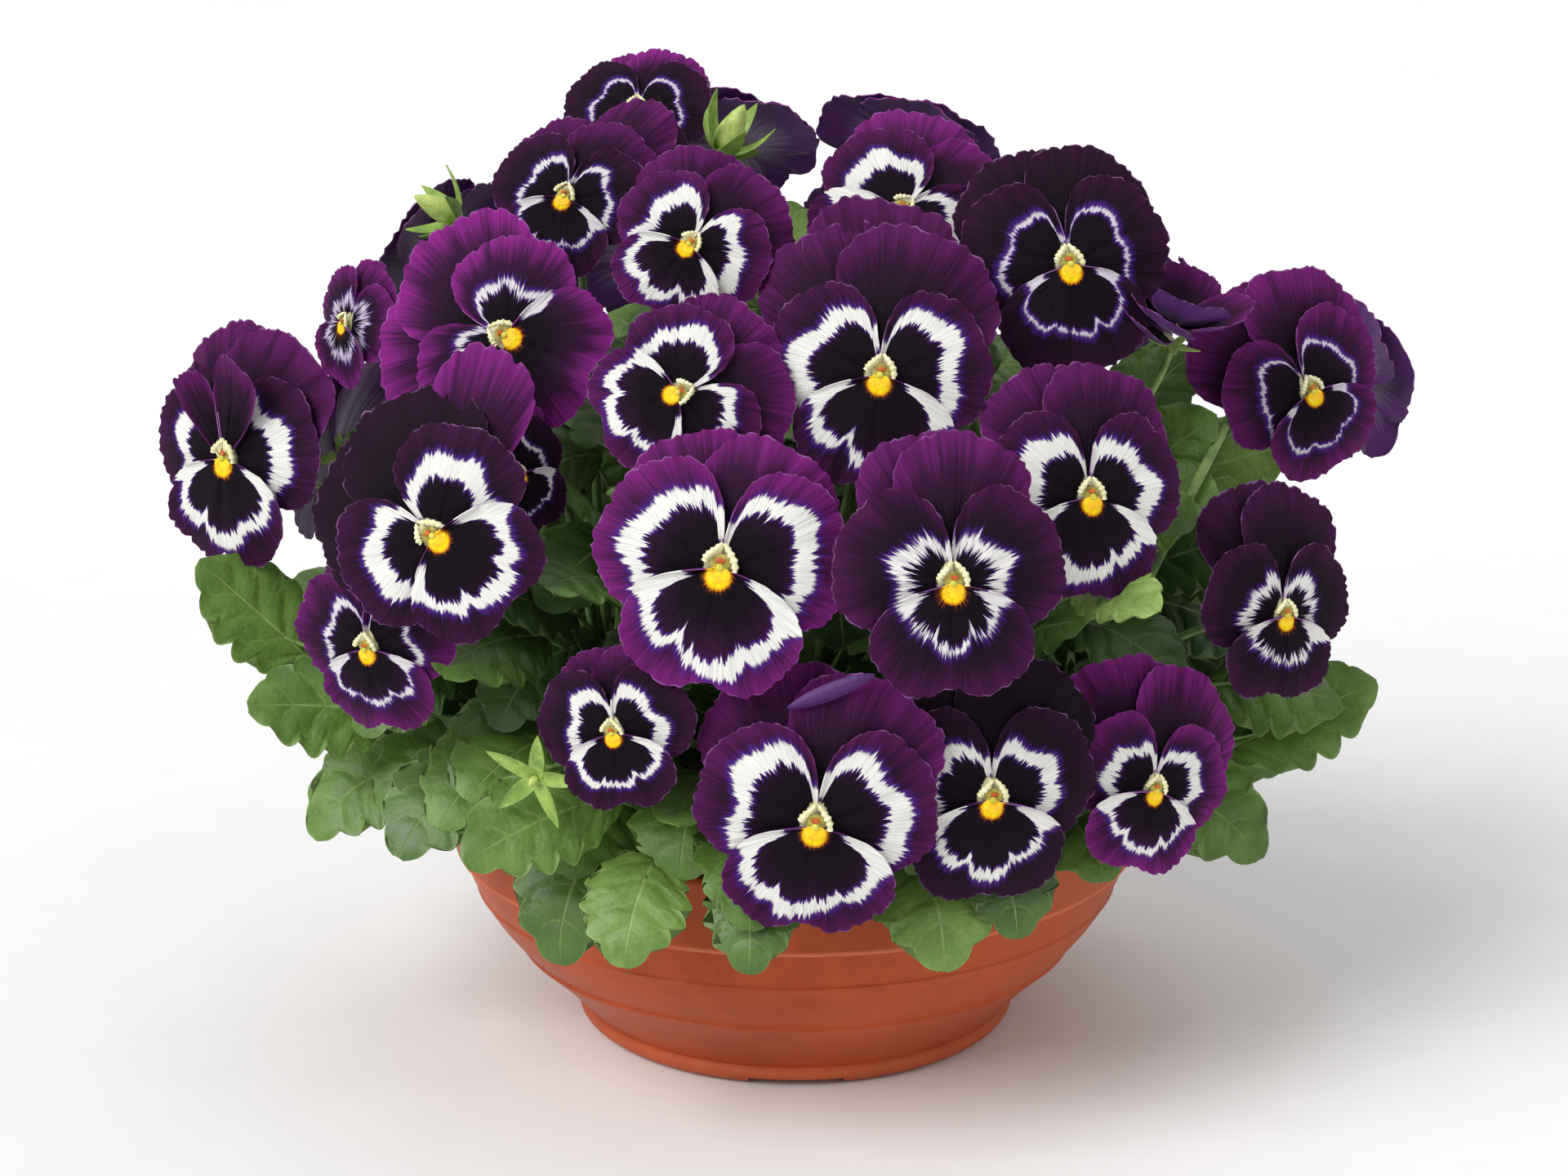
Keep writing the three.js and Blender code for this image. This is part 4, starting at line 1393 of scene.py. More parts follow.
BLOOMS = (
    Bloom(
        1, 80, 1.2, -36, 6, 0, Ring.WIDE, 0.15, 0.4,
        folds=(Petal(Kind.UPPER, 74, 27, 0.98, 0, -0.3, 0.0), Petal(Kind.UPPER, 119, 21, 0.84, 0, -0.26, 0.0)),
    ),
    Bloom(
        2, 75, 1.3, -14, 12, 52, Ring.WIDE, 0.12, 0.03, (0.6, 0.8),
        folds=(Petal(Kind.UPPER, 27, 28, 1.66, 4, 0.0, 0.0, 0.8),),
    ),
    Bloom(3, 72, 1.4, -12, 24, 70, Ring.FEATHERED, 0.95, 1.0, (0.5, 0.6)),
    Bloom(4, 56, 1.1, -8, 38, 0, Ring.VIOLET, 0.08, 0.95, (0.4, 0.4), ruffle=0.6),
    Bloom(
        5, 58, 1.2, -12, 30, -12, Ring.THIN, 0.12, 0.35, (0.56, 0.62),
        folds=(Petal(Kind.UPPER, 70, 28, 1.68, 4, 0.0, 0.0, 0.1),),
    ),
    Bloom(6, 56, 1.3, 0, 22, -34, Ring.WIDE, 0.35, 0.4, (0.6, 0.95)),
    Bloom(7, 60, 1.25, -4, 20, -68, Ring.BOLD, 0.3, 0.5),
    Bloom(8, 66, 1.35, 4, 32, -48, Ring.WIDE, 0.3, 0.75, (1.05, 0.98)),
    Bloom(
        9, 78, 1.4, 5, 20, -6, Ring.BOLD, 0.18, 0.32, (0.62, 0.85), fan=(22.0, 56.0),
        folds=(Petal(Kind.UPPER, 91, 42, 1.63, 4, 0.06, 0.0),),
    ),
    Bloom(10, 76, 1.12, 12, 16, 4, Ring.VIOLET, 0.08, 0.06, (0.42, 0.46)),
    Bloom(
        11, 46, 1.1, 40, 68, 30, Ring.PLAIN, 0.5, 0.6, (0.3, 0.3), cup=0.7,
        folds=(Petal(Kind.UPPER, 196, 64, 0.98, 0, -0.32, 0.0, -0.5),),
    ),
    Bloom(12, 66, 1.3, 24, 6, 22, Ring.VIOLET, 0.5, 0.6, (0.36, 0.44)),
    Bloom(13, 72, 1.25, 20, 14, -6, Ring.WIDE, 0.2, 0.4, (0.62, 0.98), fan=(20.0, 56.0)),
    Bloom(14, 78, 1.24, 8, 12, 0, Ring.STREAKED, 0.2, 0.5, (0.5, 0.5), fan=(11.0, 48.0)),
    Bloom(15, 86, 1.05, -3, 14, -8, Ring.BOLD, 0.65, 0.7, (0.7, 0.95)),
    Bloom(16, 62, 1.4, 28, 6, -8, Ring.STREAKED, 0.12, 0.15, (0.5, 0.7), fan=(14.0, 50.0)),
    Bloom(17, 64, 0.98, -28, -6, 8, Ring.THIN, 0.45, 0.4, (0.6, 0.55)),
    Bloom(18, 55, 1.0, -14, 4, 10, Ring.MEDIUM, 0.12, 0.35),
    Bloom(
        19, 82, 1.22, 0, -2, -6, Ring.BOLD, 0.28, 0.45, (0.66, 0.8),
        curls=(Curl((-0.32, 0.88), (0.34, 1.24), 0.14, (0.7, 1.2), -0.7),),
    ),
    Bloom(20, 76, 1.24, 12, 2, -2, Ring.MEDIUM, 0.06, 0.0),
    Bloom(21, 61, 1.4, 24, 4, -18, Ring.MEDIUM, 0.7, 0.85, (0.75, 0.7)),
    Bloom(22, 46, 1.0, -52, 10, -10, Ring.BLURRED, 0.6, 0.7, (0.36, 0.36)),
    Bloom(23, 56, 1.2, 104, 18, -20, Ring.THIN, 1.0, 0.9),
    Bloom(24, 45, 1.3, 36, 14, 20, Ring.THIN, 0.12, 0.95),
    Bloom(25, 62, 1.2, 176, 34, 8, Ring.WIDE, 0.9, 0.95),
    Bloom(26, 68, 1.2, 152, 34, -12, Ring.VIOLET, 0.9, 0.95, (0.42, 0.42)),
    Bloom(27, 64, 1.2, -122, 16, 10, Ring.MEDIUM, 0.4, 0.5),
    Bloom(28, 80, 1.15, -164, 22, -20, Ring.WIDE, 0.4, 0.6, (0.7, 0.85)),
    Bloom(29, 78, 1.2, 166, 20, 14, Ring.STREAKED, 0.3, 0.5, (0.56, 0.56)),
    Bloom(30, 72, 1.2, 140, 18, -8, Ring.VIOLET, 0.1, 0.15, (0.42, 0.42)),
    Bloom(31, 68, 1.1, 130, 8, 6, Ring.MEDIUM, 0.5, 0.7),
    Bloom(32, 68, 1.2, -112, 6, 0, Ring.VIOLET, 0.2, 0.3, (0.42, 0.42)),
    Bloom(33, 80, 1.2, -146, 10, 6, Ring.WIDE, 0.3, 0.55, (0.62, 0.9)),
    Bloom(34, 84, 1.15, 178, 10, -6, Ring.WIDE, 0.45, 0.6, (0.8, 0.7)),
    Bloom(35, 76, 1.2, 146, 8, 30, Ring.MEDIUM, 0.3, 0.4),
)


# ---------- a plant ----------

# Six plants stand in a ring, each in a sector of this many degrees, and the last one in the middle.
PLANTS = 7
MIDDLE_PLANT = 6
SECTOR = 60
PLANT_RING = 74 * MM
MIDDLE_REACH = 80 * MM
OUTER_STEM_TOP = 128 * MM
MIDDLE_STEM_TOP = 190 * MM
STEM_BASE = 71 * MM
STEM_RADIUS = 7 * MM
STALK_STEP = 5 * MM
STALK_SET = 2 * MM
CROOK_BACK = 24 * MM
CROOK_DROP = 5 * MM
CALYX_GAP = 0.4 * MM
CALYX_DEPTH = 2 * MM
LEAF_FRONT_LEAN = 42
LEAF_TEETH = 5.5
LEAF_THICKNESS = 0.7 * MM
PETIOLE_END = 0.3

# The radii that a stalk begins and ends with, in millimetres.
STALK_TAPER = (1.7, 1.25)
STRAY_STALK_TAPER = (2.2, 1.7)
PETIOLE_TAPER = (1.1, 0.7)

# A blade's rows and columns of faces.
FINE_BLADE = (44, 8)
PLAIN_BLADE = (30, 6)

# A bud's radius and height along it, as shares of its length.
BUD_OUTLINE = ((0.02, 0.01), (0.2, 0.1), (0.27, 0.3), (0.25, 0.5), (0.17, 0.75), (0.08, 0.92), (0.01, 1.0))


class PlantFinish(IntEnum):
    """A plant's finishes, by their place in its list."""

    LEAF = 0
    STALK = 1
    SEPAL = 2
    BUD = 3


def chance(index: int, salt: int) -> float:
    """A number from 0 to 1 that is always the same for the same two numbers."""
    wave = math.sin(index * 12.9898 + salt * 78.233) * 43758.5453
    return wave - math.floor(wave)


def sway(index: int, salt: int) -> float:
    """Like chance, from -1 to 1."""
    return 2 * chance(index, salt) - 1


@dataclass(frozen=True)
class LeafRing:
    """A ring of leaves round the middle, by the same rule as the solids: sizes in millimetres, angles in degrees."""

    count: int
    radius: float
    spread: float
    height: float
    pitch: float
    bend: float
    length: float
    width: float
    attach: float
    tone: float
    salt: int = 0
    half_step: float = 0.5


LEAF_RINGS = (
    LeafRing(15, 112, 12, 110, 14, 102, 58, 42, 94, 0.5, 0, 0.0),
    LeafRing(12, 102, 50, 130, 22, 55, 56, 42, 104, 0.42, 1),
    LeafRing(12, 96, 34, 168, 40, 50, 48, 36, 116, 0.4, 2),
    LeafRing(6, 38, 0, 234, 46, 60, 46, 34, 168, 0.45, 3),
    LeafRing(5, 14, 0, 268, 62, 60, 44, 32, 184, 0.5, 4),
)
# Inner leaves that fill the gaps of the mound; most of them get low tones, whose deep green is painted shade.
INFILL_RINGS = (
    LeafRing(19, 106, 6, 122, 4, 96, 52, 40, 96, 0.45, 100),
    LeafRing(17, 100, 24, 146, 6, 90, 50, 38, 104, 0.3, 101),
    LeafRing(17, 94, 30, 168, 8, 86, 48, 36, 108, 0.22, 102),
    LeafRing(15, 84, 24, 190, 12, 84, 46, 35, 112, 0.2, 103),
    LeafRing(13, 68, 16, 214, 14, 84, 44, 33, 118, 0.2, 104),
    LeafRing(11, 50, 8, 238, 16, 84, 42, 31, 150, 0.25, 105),
    LeafRing(8, 30, 0, 256, 18, 90, 40, 30, 176, 0.3, 106),
    LeafRing(14, 84, 20, 100, 62, 62, 50, 40, 96, 0.15, 107),
    LeafRing(12, 64, 14, 128, 66, 60, 50, 40, 100, 0.1, 108),
    LeafRing(10, 46, 8, 160, 68, 60, 50, 38, 112, 0.1, 109),
    LeafRing(8, 26, 0, 200, 70, 60, 46, 36, 160, 0.12, 110),
    LeafRing(11, 84, 34, 206, 26, 50, 46, 34, 116, 0.5, 111),
    LeafRing(12, 70, 30, 186, 60, 50, 48, 36, 110, 0.15, 112),
    LeafRing(13, 74, 10, 98, 82, 30, 54, 44, 94, 0.1, 113),
    LeafRing(9, 40, 0, 100, 84, 20, 60, 46, 94, 0.1, 114),
)


@dataclass(frozen=True)
class Sprig:
    """A single leaf away from the rings: where its blade begins and its sizes in millimetres, its angles and tone."""

    base: tuple[float, float, float]
    azimuth: float
    pitch: float
    bend: float
    lean: float
    length: float
    width: float
    attach: float
    tone: float


SPRIGS = (
    Sprig((112, -20, 198), -12, 58, 30, 62, 50, 34, 110, 0.5),
    Sprig((114, 8, 214), 12, 62, 30, 60, 44, 32, 112, 0.45),
    Sprig((136, 14, 196), 10, 30, 30, 62, 48, 32, 112, 0.75),
    Sprig((120, 6, 186), 14, 36, 40, 58, 48, 34, 110, 0.75),
    Sprig((104, -44, 188), -34, 44, 40, 40, 46, 32, 108, 0.4),
    Sprig((126, -30, 178), -22, 20, 30, 55, 50, 36, 108, 0.35),
    Sprig((134, 0, 166), 4, 10, 30, 58, 52, 38, 104, 0.6),
    Sprig((-46, -124, 106), 250, -4, 76, -14, 48, 37, 96, 0.68),
    Sprig((-14, -132, 108), 266, -10, 80, 6, 46, 33, 96, 0.25),
    Sprig((-58, -118, 124), 208, 6, 40, -50, 62, 38, 98, 0.55),
    Sprig((64, -118, 112), 290, -8, 80, 10, 44, 34, 96, 0.2),
    Sprig((92, -104, 190), 310, 30, 50, 30, 42, 27, 108, 0.95),
    Sprig((-62, -96, 190), 246, 40, 50, -20, 50, 40, 108, 0.3),
    Sprig((-84, -84, 168), 228, 30, 60, -30, 54, 42, 108, 0.35),
    Sprig((-70, 20, 180), 268, 80, 24, 0, 44, 34, 110, 0.4),
    Sprig((14, 20, 112), 272, 80, 24, 0, 44, 34, 96, 0.3),
    Sprig((-132, 12, 92), 250, 80, 24, 0, 44, 36, 90, 0.3),
    Sprig((-170, -24, 138), 180, 50, 12, -50, 58, 38, 100, 0.55),
    Sprig((152, -40, 112), 354, 36, 16, 50, 60, 40, 98, 0.5),
)

# A lone stalk among the leaves, in millimetres: its start, its two handles and its end.
STRAY_STALK_PLANT = 5
STRAY_STALK = ((116, -58, 170), (126, -61, 194), (140, -46, 216), (156, -8, 232))


@dataclass(frozen=True)
class Leaf:
    """A leaf: where its blade begins, its angles in degrees, its sizes in metres, its tone and its grid of faces."""

    plant: int
    azimuth: float
    base: tuple[float, float, float]
    pitch: float
    bend: float
    lean: float
    length: float
    width: float
    attach: float
    tone: float
    grid: tuple[int, int]

    @property
    def outwards(self) -> np.ndarray:
        """The level direction that it grows in."""
        return turned(self.azimuth + 90, 0)

    def half_width(self, along: np.ndarray) -> np.ndarray:
        """Its half width, with rounded teeth.

        Args:
            along: places along it, from 0 to 1.

        Returns:
            The half widths, as shares of the widest.
        """
        swell = np.sin(np.pi * np.clip(along, 0, 1) ** 0.98) ** 0.66
        tooth = (LEAF_TEETH * (along + 0.05)) % 1.0
        scallop = np.sin(np.pi * tooth**1.6) ** 0.5
        return swell * (0.78 + 0.25 * scallop)

    def surface(self, along: np.ndarray, across: np.ndarray) -> np.ndarray:
        """Points of the blade.

        Args:
            along: places along it, from 0 to 1.
            across: places across it, in half widths.

        Returns:
            The points.
        """
        start, bend = math.radians(self.pitch), math.radians(self.bend)
        pitch = start - bend * along
        out = self.length * (math.sin(start) - np.sin(pitch)) / bend
        up = self.length * (np.cos(pitch) - math.cos(start)) / bend
        outwards = self.outwards
        side = np.array([-outwards[1], outwards[0], 0.0])
        ahead = np.cos(pitch)[..., None] * outwards + np.sin(pitch)[..., None] * np.array([0, 0, 1.0])
        level = np.cross(ahead, np.broadcast_to(side, ahead.shape))
        lean = math.radians(self.lean)
        tilted = math.cos(lean) * side + math.sin(lean) * level
        normal = math.cos(lean) * level - math.sin(lean) * side
        width = 0.5 * self.width * across
        cup = -0.12 * np.abs(width)
        points = np.array(self.base) + out[..., None] * outwards + width[..., None] * tilted
        points[..., 2] += up
        return points + cup[..., None] * normal

    def add_blade(self, draft: Draft) -> None:
        """Adds its blade.

        Args:
            draft: the mesh that it goes to.
        """
        rows, columns = self.grid
        along, across = np.meshgrid(np.linspace(0.015, 0.992, rows + 1), np.linspace(1, -1, columns + 1))
        along, across = along.T, across.T
        points = self.surface(along, across * self.half_width(along))
        wave = np.sin(2 * np.pi * LEAF_TEETH * along + 3 * across) * across**2
        frill = 0.012 * self.length * wave
        fold = 0.03 * self.length * np.exp(-((across / 0.12) ** 2)) * np.sin(np.pi * along)
        points[..., 2] += frill - fold
        place = spread_field(along, across, self.tone, shape=along.shape)
        thickness = np.full(along.shape, LEAF_THICKNESS)
        add_blade(draft, points, thickness, list(range(rows + 1)), (PlantFinish.LEAF,) * 3, place=place)

    def add_petiole(self, draft: Draft, spot: np.ndarray) -> None:
        """Adds its stalk, from the plant's stem into its blade.

        Args:
            draft: the mesh that it goes to.
            spot: where the plant stands.
        """
        start = np.array([spot[0], spot[1], self.attach])
        into = self.surface(np.array([PETIOLE_END]), np.array([0.0]))[0] - np.array([0, 0, 1.2 * MM])
        before = np.array(self.base) - 10 * MM * self.outwards + np.array([0, 0, 1 * MM])
        rise = start + 0.35 * (before - start)
        rise[2] = self.attach + 0.6 * (self.base[2] - self.attach)
        path = bezier([start, rise, before, into], 10)
        add_tube(draft, path, np.linspace(*PETIOLE_TAPER, len(path)) * MM, 6, PlantFinish.STALK, self.tone)


def outer_plant(azimuth: float) -> int:
    """The number, from 0, of the outer plant whose sector holds an azimuth in degrees."""
    return int(azimuth % 360 // SECTOR)


def lay_out(rings: tuple[LeafRing, ...], grid: tuple[int, int]) -> list[Leaf]:
    """Every leaf of some rings, by the rule of its ring.

    Args:
        rings: the rings.
        grid: each blade's rows and columns of faces.

    Returns:
        The leaves.
    """
    leaves = []
    for ring in rings:
        for i in range(ring.count):
            salt = ring.salt
            azimuth = ((i + ring.half_step) * 360 / ring.count + 2 * sway(i, salt + 1) + 360) % 360
            angle = math.radians(azimuth)
            sideways = math.cos(angle) ** 4
            radius = ring.radius + ring.spread * sideways + 4 * sway(i, salt + 11)
            height = ring.height + (4 if i % 2 else -4) + 3 * sway(i, salt + 21)
            base = (radius * math.cos(angle) * MM, radius * math.sin(angle) * MM, height * MM)
            leaves.append(
                Leaf(
                    plant=MIDDLE_PLANT if ring.radius * MM < 0.6 * PLANT_RING else outer_plant(azimuth),
                    azimuth=azimuth,
                    base=base,
                    pitch=ring.pitch + 8 * sway(i, salt + 31),
                    bend=ring.bend * (1 - 0.4 * sideways) + 14 * sway(i, salt + 41),
                    lean=LEAF_FRONT_LEAN * math.cos(angle) + 9 * sway(i, salt + 51),
                    length=ring.length * (1 + 0.12 * sway(i, salt + 61)) * MM,
                    width=ring.width * (1 + 0.08 * sway(i, salt + 71)) * MM,
                    attach=ring.attach * MM,
                    tone=min(1.0, max(0.0, ring.tone + 0.28 * sway(i, salt + 81))),
                    grid=grid,
                )
            )
    return leaves


def lay_sprigs() -> list[Leaf]:
    """The leaves that stand away from the rings.

    Returns:
        The leaves.
    """
    return [
        Leaf(
            plant=outer_plant(sprig.azimuth),
            azimuth=sprig.azimuth,
            base=tuple(place * MM for place in sprig.base),
            pitch=sprig.pitch,
            bend=sprig.bend,
            lean=sprig.lean,
            length=sprig.length * MM,
            width=sprig.width * MM,
            attach=sprig.attach * MM,
            tone=sprig.tone,
            grid=FINE_BLADE,
        )
        for sprig in SPRIGS
    ]


@dataclass(frozen=True)
class Bud:
    """A bud: where its tip is in millimetres, the way it points, its length, and its sepals' opening and length."""

    tip: tuple[float, float, float]
    turn: float
    nod: float
    length: float
    opening: float
    sepals: float


BUDS = (
    Bud((-18, 4, 336), 60, 60, 20, 0.3, 19),
    Bud((-134, 2, 304), -70, 30, 18, 0.5, 17),
    Bud((-88, -146, 137), -22, -12, 6, 0.96, 17),
    Bud((76, 98, 300), 150, 50, 18, 0.3, 17),
)


def add_sepals(draft: Draft, at: np.ndarray, towards: np.ndarray, length: float, opening: float, twist: float) -> None:
    """Adds five pointed green sepals round a flower's or bud's base.

    Args:
        draft: the mesh that they go to.
        at: the middle of their ring.
        towards: the way that the flower faces.
        length: each one's length.
        opening: 0 for closed along the bud, 1 for spread flat.
        twist: the ring's turn, in radians.
    """
    turn = turn_to(towards)
    for i in range(5):
        angle = twist + 2 * np.pi * i / 5
        out = np.array([math.cos(angle), math.sin(angle), 0.0])
        side = np.array([-math.sin(angle), math.cos(angle), 0.0])
        along, across = np.meshgrid(np.linspace(-0.25, 0.99, 9), np.linspace(-1, 1, 5))
        along, across = along.T, across.T
        lift = math.radians(90 - 84 * opening) * np.clip(along, 0, 1) ** 0.6
        width = 0.17 * length * np.sin(np.pi * np.clip(0.14 + 0.86 * (along + 0.25) / 1.25, 0, 1)) ** 0.8
        distance = 0.1 * length + length * along * np.cos(0.8 * lift)
        rise = length * (np.clip(along, 0, 1) * np.sin(lift) - 0.12 * np.clip(-along, 0, 1))
        local = distance[..., None] * out + (across * width)[..., None] * side
        local[..., 2] += rise + 0.25 * np.abs(across) * width
        thickness = np.full(along.shape, 0.4 * MM)
        place = spread_field(along, across, 0.6, shape=along.shape)
        add_blade(draft, local @ turn.T + at, thickness, list(range(9)), (PlantFinish.SEPAL,) * 3, place=place)


def plant_for(at: np.ndarray) -> int:
    """Finds the plant that a flower grows on.

    Args:
        at: where the flower is.

    Returns:
        The plant's number, from 0.
    """
    if math.hypot(at[0], at[1]) < MIDDLE_REACH:
        return MIDDLE_PLANT
    return outer_plant(math.degrees(math.atan2(at[1], at[0])) + 360)


@dataclass
class Plant:
    """One plant, numbered from 0: its stem, leaves, flower stalks with their sepals, and buds."""

    number: int
    throats: dict[int, np.ndarray]

    @property
    def spot(self) -> np.ndarray:
        """Finds its place.

        Returns:
            Where it stands: x and y.
        """
        if self.number == MIDDLE_PLANT:
            return np.zeros(2)
        angle = math.radians(SECTOR * (self.number + 0.5))
        return PLANT_RING * np.array([math.cos(angle), math.sin(angle)])

    @property
    def top(self) -> float:
        """The height of its stem's top."""
        return MIDDLE_STEM_TOP if self.number == MIDDLE_PLANT else OUTER_STEM_TOP

    def stalk(self, draft: Draft, place: int, end: np.ndarray, towards: np.ndarray) -> None:
        """Adds a flower's stalk, out and up from the stem to a crook behind the flower.

        Args:
            draft: the mesh that it goes to.
            place: its place down the stem.
            end: where it ends.
            towards: the way that the flower faces.
        """
        foot = np.array([*self.spot, self.top - STALK_STEP * (place + 1)])
        away = np.array([end[0] - foot[0], end[1] - foot[1], 0.0])
        reach_out = np.linalg.norm(away)
        start = foot + away * STALK_SET / reach_out
        rise = start + away * (0.12 + 6 * MM / reach_out)
        rise[2] += max(10 * MM, 0.5 * (end[2] - start[2]))
        behind = end - CROOK_BACK * towards - np.array([0, 0, CROOK_DROP])
        path = bezier([start, rise, behind, end], 20)
        add_tube(draft, path, np.linspace(*STALK_TAPER, len(path)) * MM, 8, PlantFinish.STALK, 0.6)

    def add_bud(self, draft: Draft, bud: Bud) -> None:
        """Adds a bud in its sepals.

        Args:
            draft: the mesh that they go to.
            bud: the bud.
        """
        tip, towards, length = np.array(bud.tip) * MM, turned(bud.turn, bud.nod), bud.length * MM
        sized = [(0.9 * r * length, (h - 1) * length) for r, h in BUD_OUTLINE]
        add_drop(draft, sized, 12, PlantFinish.BUD, turn_to(towards), tip)
        add_sepals(draft, tip - towards * length, towards, bud.sepals * MM, bud.opening, bud.length)

    def build(self, leaves: list[Leaf], wardrobe: "Wardrobe") -> bpy.types.Object:
        """Builds the plant.

        Args:
            leaves: every leaf of the planting.
            wardrobe: the finishes.

        Returns:
            The piece that stands for the plant's solid.
        """
        draft = Draft()
        heights = [STEM_BASE + share * (self.top - STEM_BASE) for share in (0, 0.3, 0.7, 1)]
        stem = bezier([np.array([*self.spot, height]) for height in heights], 8)
        add_tube(draft, stem, np.linspace(STEM_RADIUS, 0.6 * STEM_RADIUS, len(stem)), 16, PlantFinish.STALK, 0.4)
        place = 0
        for bloom in BLOOMS:
            throat = self.throats[bloom.number]
            if plant_for(throat) != self.number:
                continue
            end = throat - bloom.towards * (THROAT_DEPTH + CALYX_GAP)
            self.stalk(draft, place, end - CALYX_DEPTH * bloom.towards, bloom.towards)
            add_sepals(draft, end - 1.0 * MM * bloom.towards, bloom.towards, 0.2 * bloom.width * MM, 0.9, bloom.number)
            place += 1
        for bud in BUDS:
            tip = np.array(bud.tip) * MM
            if plant_for(tip) != self.number:
                continue
            towards = turned(bud.turn, bud.nod)
            self.stalk(draft, place, tip + towards * (CALYX_DEPTH - bud.length * MM), towards)
            self.add_bud(draft, bud)
            place += 1
        for leaf in leaves:
            if leaf.plant == self.number:
                leaf.add_blade(draft)
                leaf.add_petiole(draft, self.spot)
        if self.number == STRAY_STALK_PLANT:
            path = bezier([np.array(knot) * MM for knot in STRAY_STALK], 20)
            add_tube(draft, path, np.linspace(*STRAY_STALK_TAPER, len(path)) * MM, 10, PlantFinish.STALK, 0.7)
        name = f"plant_{self.number + 1}"
        return settle(draft.build(f"pansy_{name}", wardrobe.plant_finishes()), [name])


# ---------- the bowl and its soil ----------


@dataclass(frozen=True)
class Bowl:
    """The moulded bowl: its profile in millimetres, radius and height, and its drain holes and foot notches.

    floor_rings are the radii of the rings of points in its floor. notch_start is the radius that a notch begins at,
    inside the foot, and notch_reach how far it goes outwards from there.
    """

    outside: tuple[tuple[float, float], ...] = (
        (66.0, 3.0), (67.3, 0.3), (68.2, 0.0), (73.6, 0.0), (74.8, 0.3), (77.0, 1.3), (78.8, 2.8), (79.7, 4.2),
        (80.0, 5.6), (79.8, 6.6), (79.2, 7.3), (79.0, 8.0), (79.9, 9.4), (84.0, 14.0), (88.4, 18.8), (92.4, 22.8),
        (96.6, 26.6), (100.4, 30.0), (101.6, 31.0), (102.0, 31.5), (101.7, 32.1), (101.9, 32.8), (104.2, 35.4),
        (106.9, 38.3), (110.8, 43.2), (113.8, 47.8), (116.2, 51.6), (117.0, 52.7), (117.2, 53.2), (116.9, 53.8),
        (117.1, 54.6), (118.4, 57.2), (119.6, 60.0), (120.9, 64.0), (121.9, 67.0), (122.8, 67.6), (123.8, 67.8),
        (124.4, 68.4), (124.6, 70.0), (125.0, 78.0), (126.2, 87.0), (126.8, 92.4), (127.3, 93.2), (127.4, 94.4),
        (126.9, 95.6), (126.1, 96.1), (124.9, 96.2),
    )
    inside: tuple[tuple[float, float], ...] = (
        (123.4, 96.1), (122.5, 95.4), (121.6, 85.0), (120.2, 69.0), (118.5, 63.0), (116.4, 57.8), (112.8, 51.0),
        (108.8, 44.6), (100.4, 34.6), (91.4, 26.0), (81.0, 15.0), (72.4, 6.6), (70.0, 5.4),
    )
    floor_low: float = 3.0
    floor_high: float = 5.4
    floor_rings: tuple[float, ...] = (2.0, 30.0, 60.0)
    sides: int = 144
    holes: int = 4
    hole_radius: float = 5.0
    hole_ring: float = 42.0
    hole_sides: int = 24
    notches: int = 3
    notch_width: float = 34.0
    notch_height: float = 3.4
    notch_start: float = 58.0
    notch_reach: float = 30.0

    def build(self, wardrobe: "Wardrobe") -> bpy.types.Object:
        """Builds the bowl.

        Args:
            wardrobe: the finishes.

        Returns:
            The piece that stands for the bowl's solid.
        """
        draft = Draft()
        below = [(radius, self.floor_low) for radius in self.floor_rings]
        above = [(radius, self.floor_high) for radius in self.floor_rings[::-1]]
        outline = [(r * MM, h * MM) for r, h in (*below, *self.outside, *self.inside, *above)]
        add_drop(draft, outline, self.sides, 0, np.eye(3), np.zeros(3))
        body = draft.build("terracotta_bowl", [wardrobe.terracotta])
        cutters = self.cutters()
        for cutter in cutters:
            cut = body.modifiers.new("cut", "BOOLEAN")
            cut.operation, cut.object, cut.solver = "DIFFERENCE", cutter, "EXACT"
        bpy.context.view_layer.update()
        shape = bpy.data.meshes.new_from_object(body.evaluated_get(bpy.context.evaluated_depsgraph_get()))
        body.modifiers.clear()
        body.data = shape
        for cutter in cutters:
            bpy.data.objects.remove(cutter)
        shape.polygons.foreach_set("use_smooth", [True] * len(shape.polygons))
        shape.set_sharp_from_angle(angle=math.radians(BOWL_CREASE_ANGLE))
        return settle(body, ["bowl"])

    def cutters(self) -> list[bpy.types.Object]:
        """Makes the shapes that cut its drain holes and foot notches.

        Returns:
            The shapes, which aren't part of the bowl.
        """
        made = []
        for i in range(self.holes):
            angle = 2 * np.pi * i / self.holes
            at = self.hole_ring * np.array([math.cos(angle), math.sin(angle), 0.0])
            draft = Draft()
            r, top = self.hole_radius, 3 * self.floor_high
            add_drop(draft, [(r * MM, 0.0), (r * MM, top * MM)], self.hole_sides, 0, np.eye(3), at * MM)
            made.append(draft.build(f"cutter_hole_{i}", []))
        for i in range(self.notches):
            angle = math.radians(270 + i * 360 / self.notches)
            out = np.array([math.cos(angle), math.sin(angle), 0.0])
            side = np.array([-out[1], out[0], 0.0])
            corners = []
            for height in (-1.0, self.notch_height):
                for a, b in ((0, -1), (1, -1), (1, 1), (0, 1)):
                    corner = out * (self.notch_start + self.notch_reach * a) + side * b * 0.5 * self.notch_width
                    corners.append((corner + np.array([0, 0, height])) * MM)
            faces = [(3, 2, 1, 0), (4, 5, 6, 7), (0, 1, 5, 4), (1, 2, 6, 5), (2, 3, 7, 6), (3, 0, 4, 7)]
            draft = Draft()
            draft.add(np.array(corners), faces, [0] * 6)
            made.append(draft.build(f"cutter_notch_{i}", []))
        return made


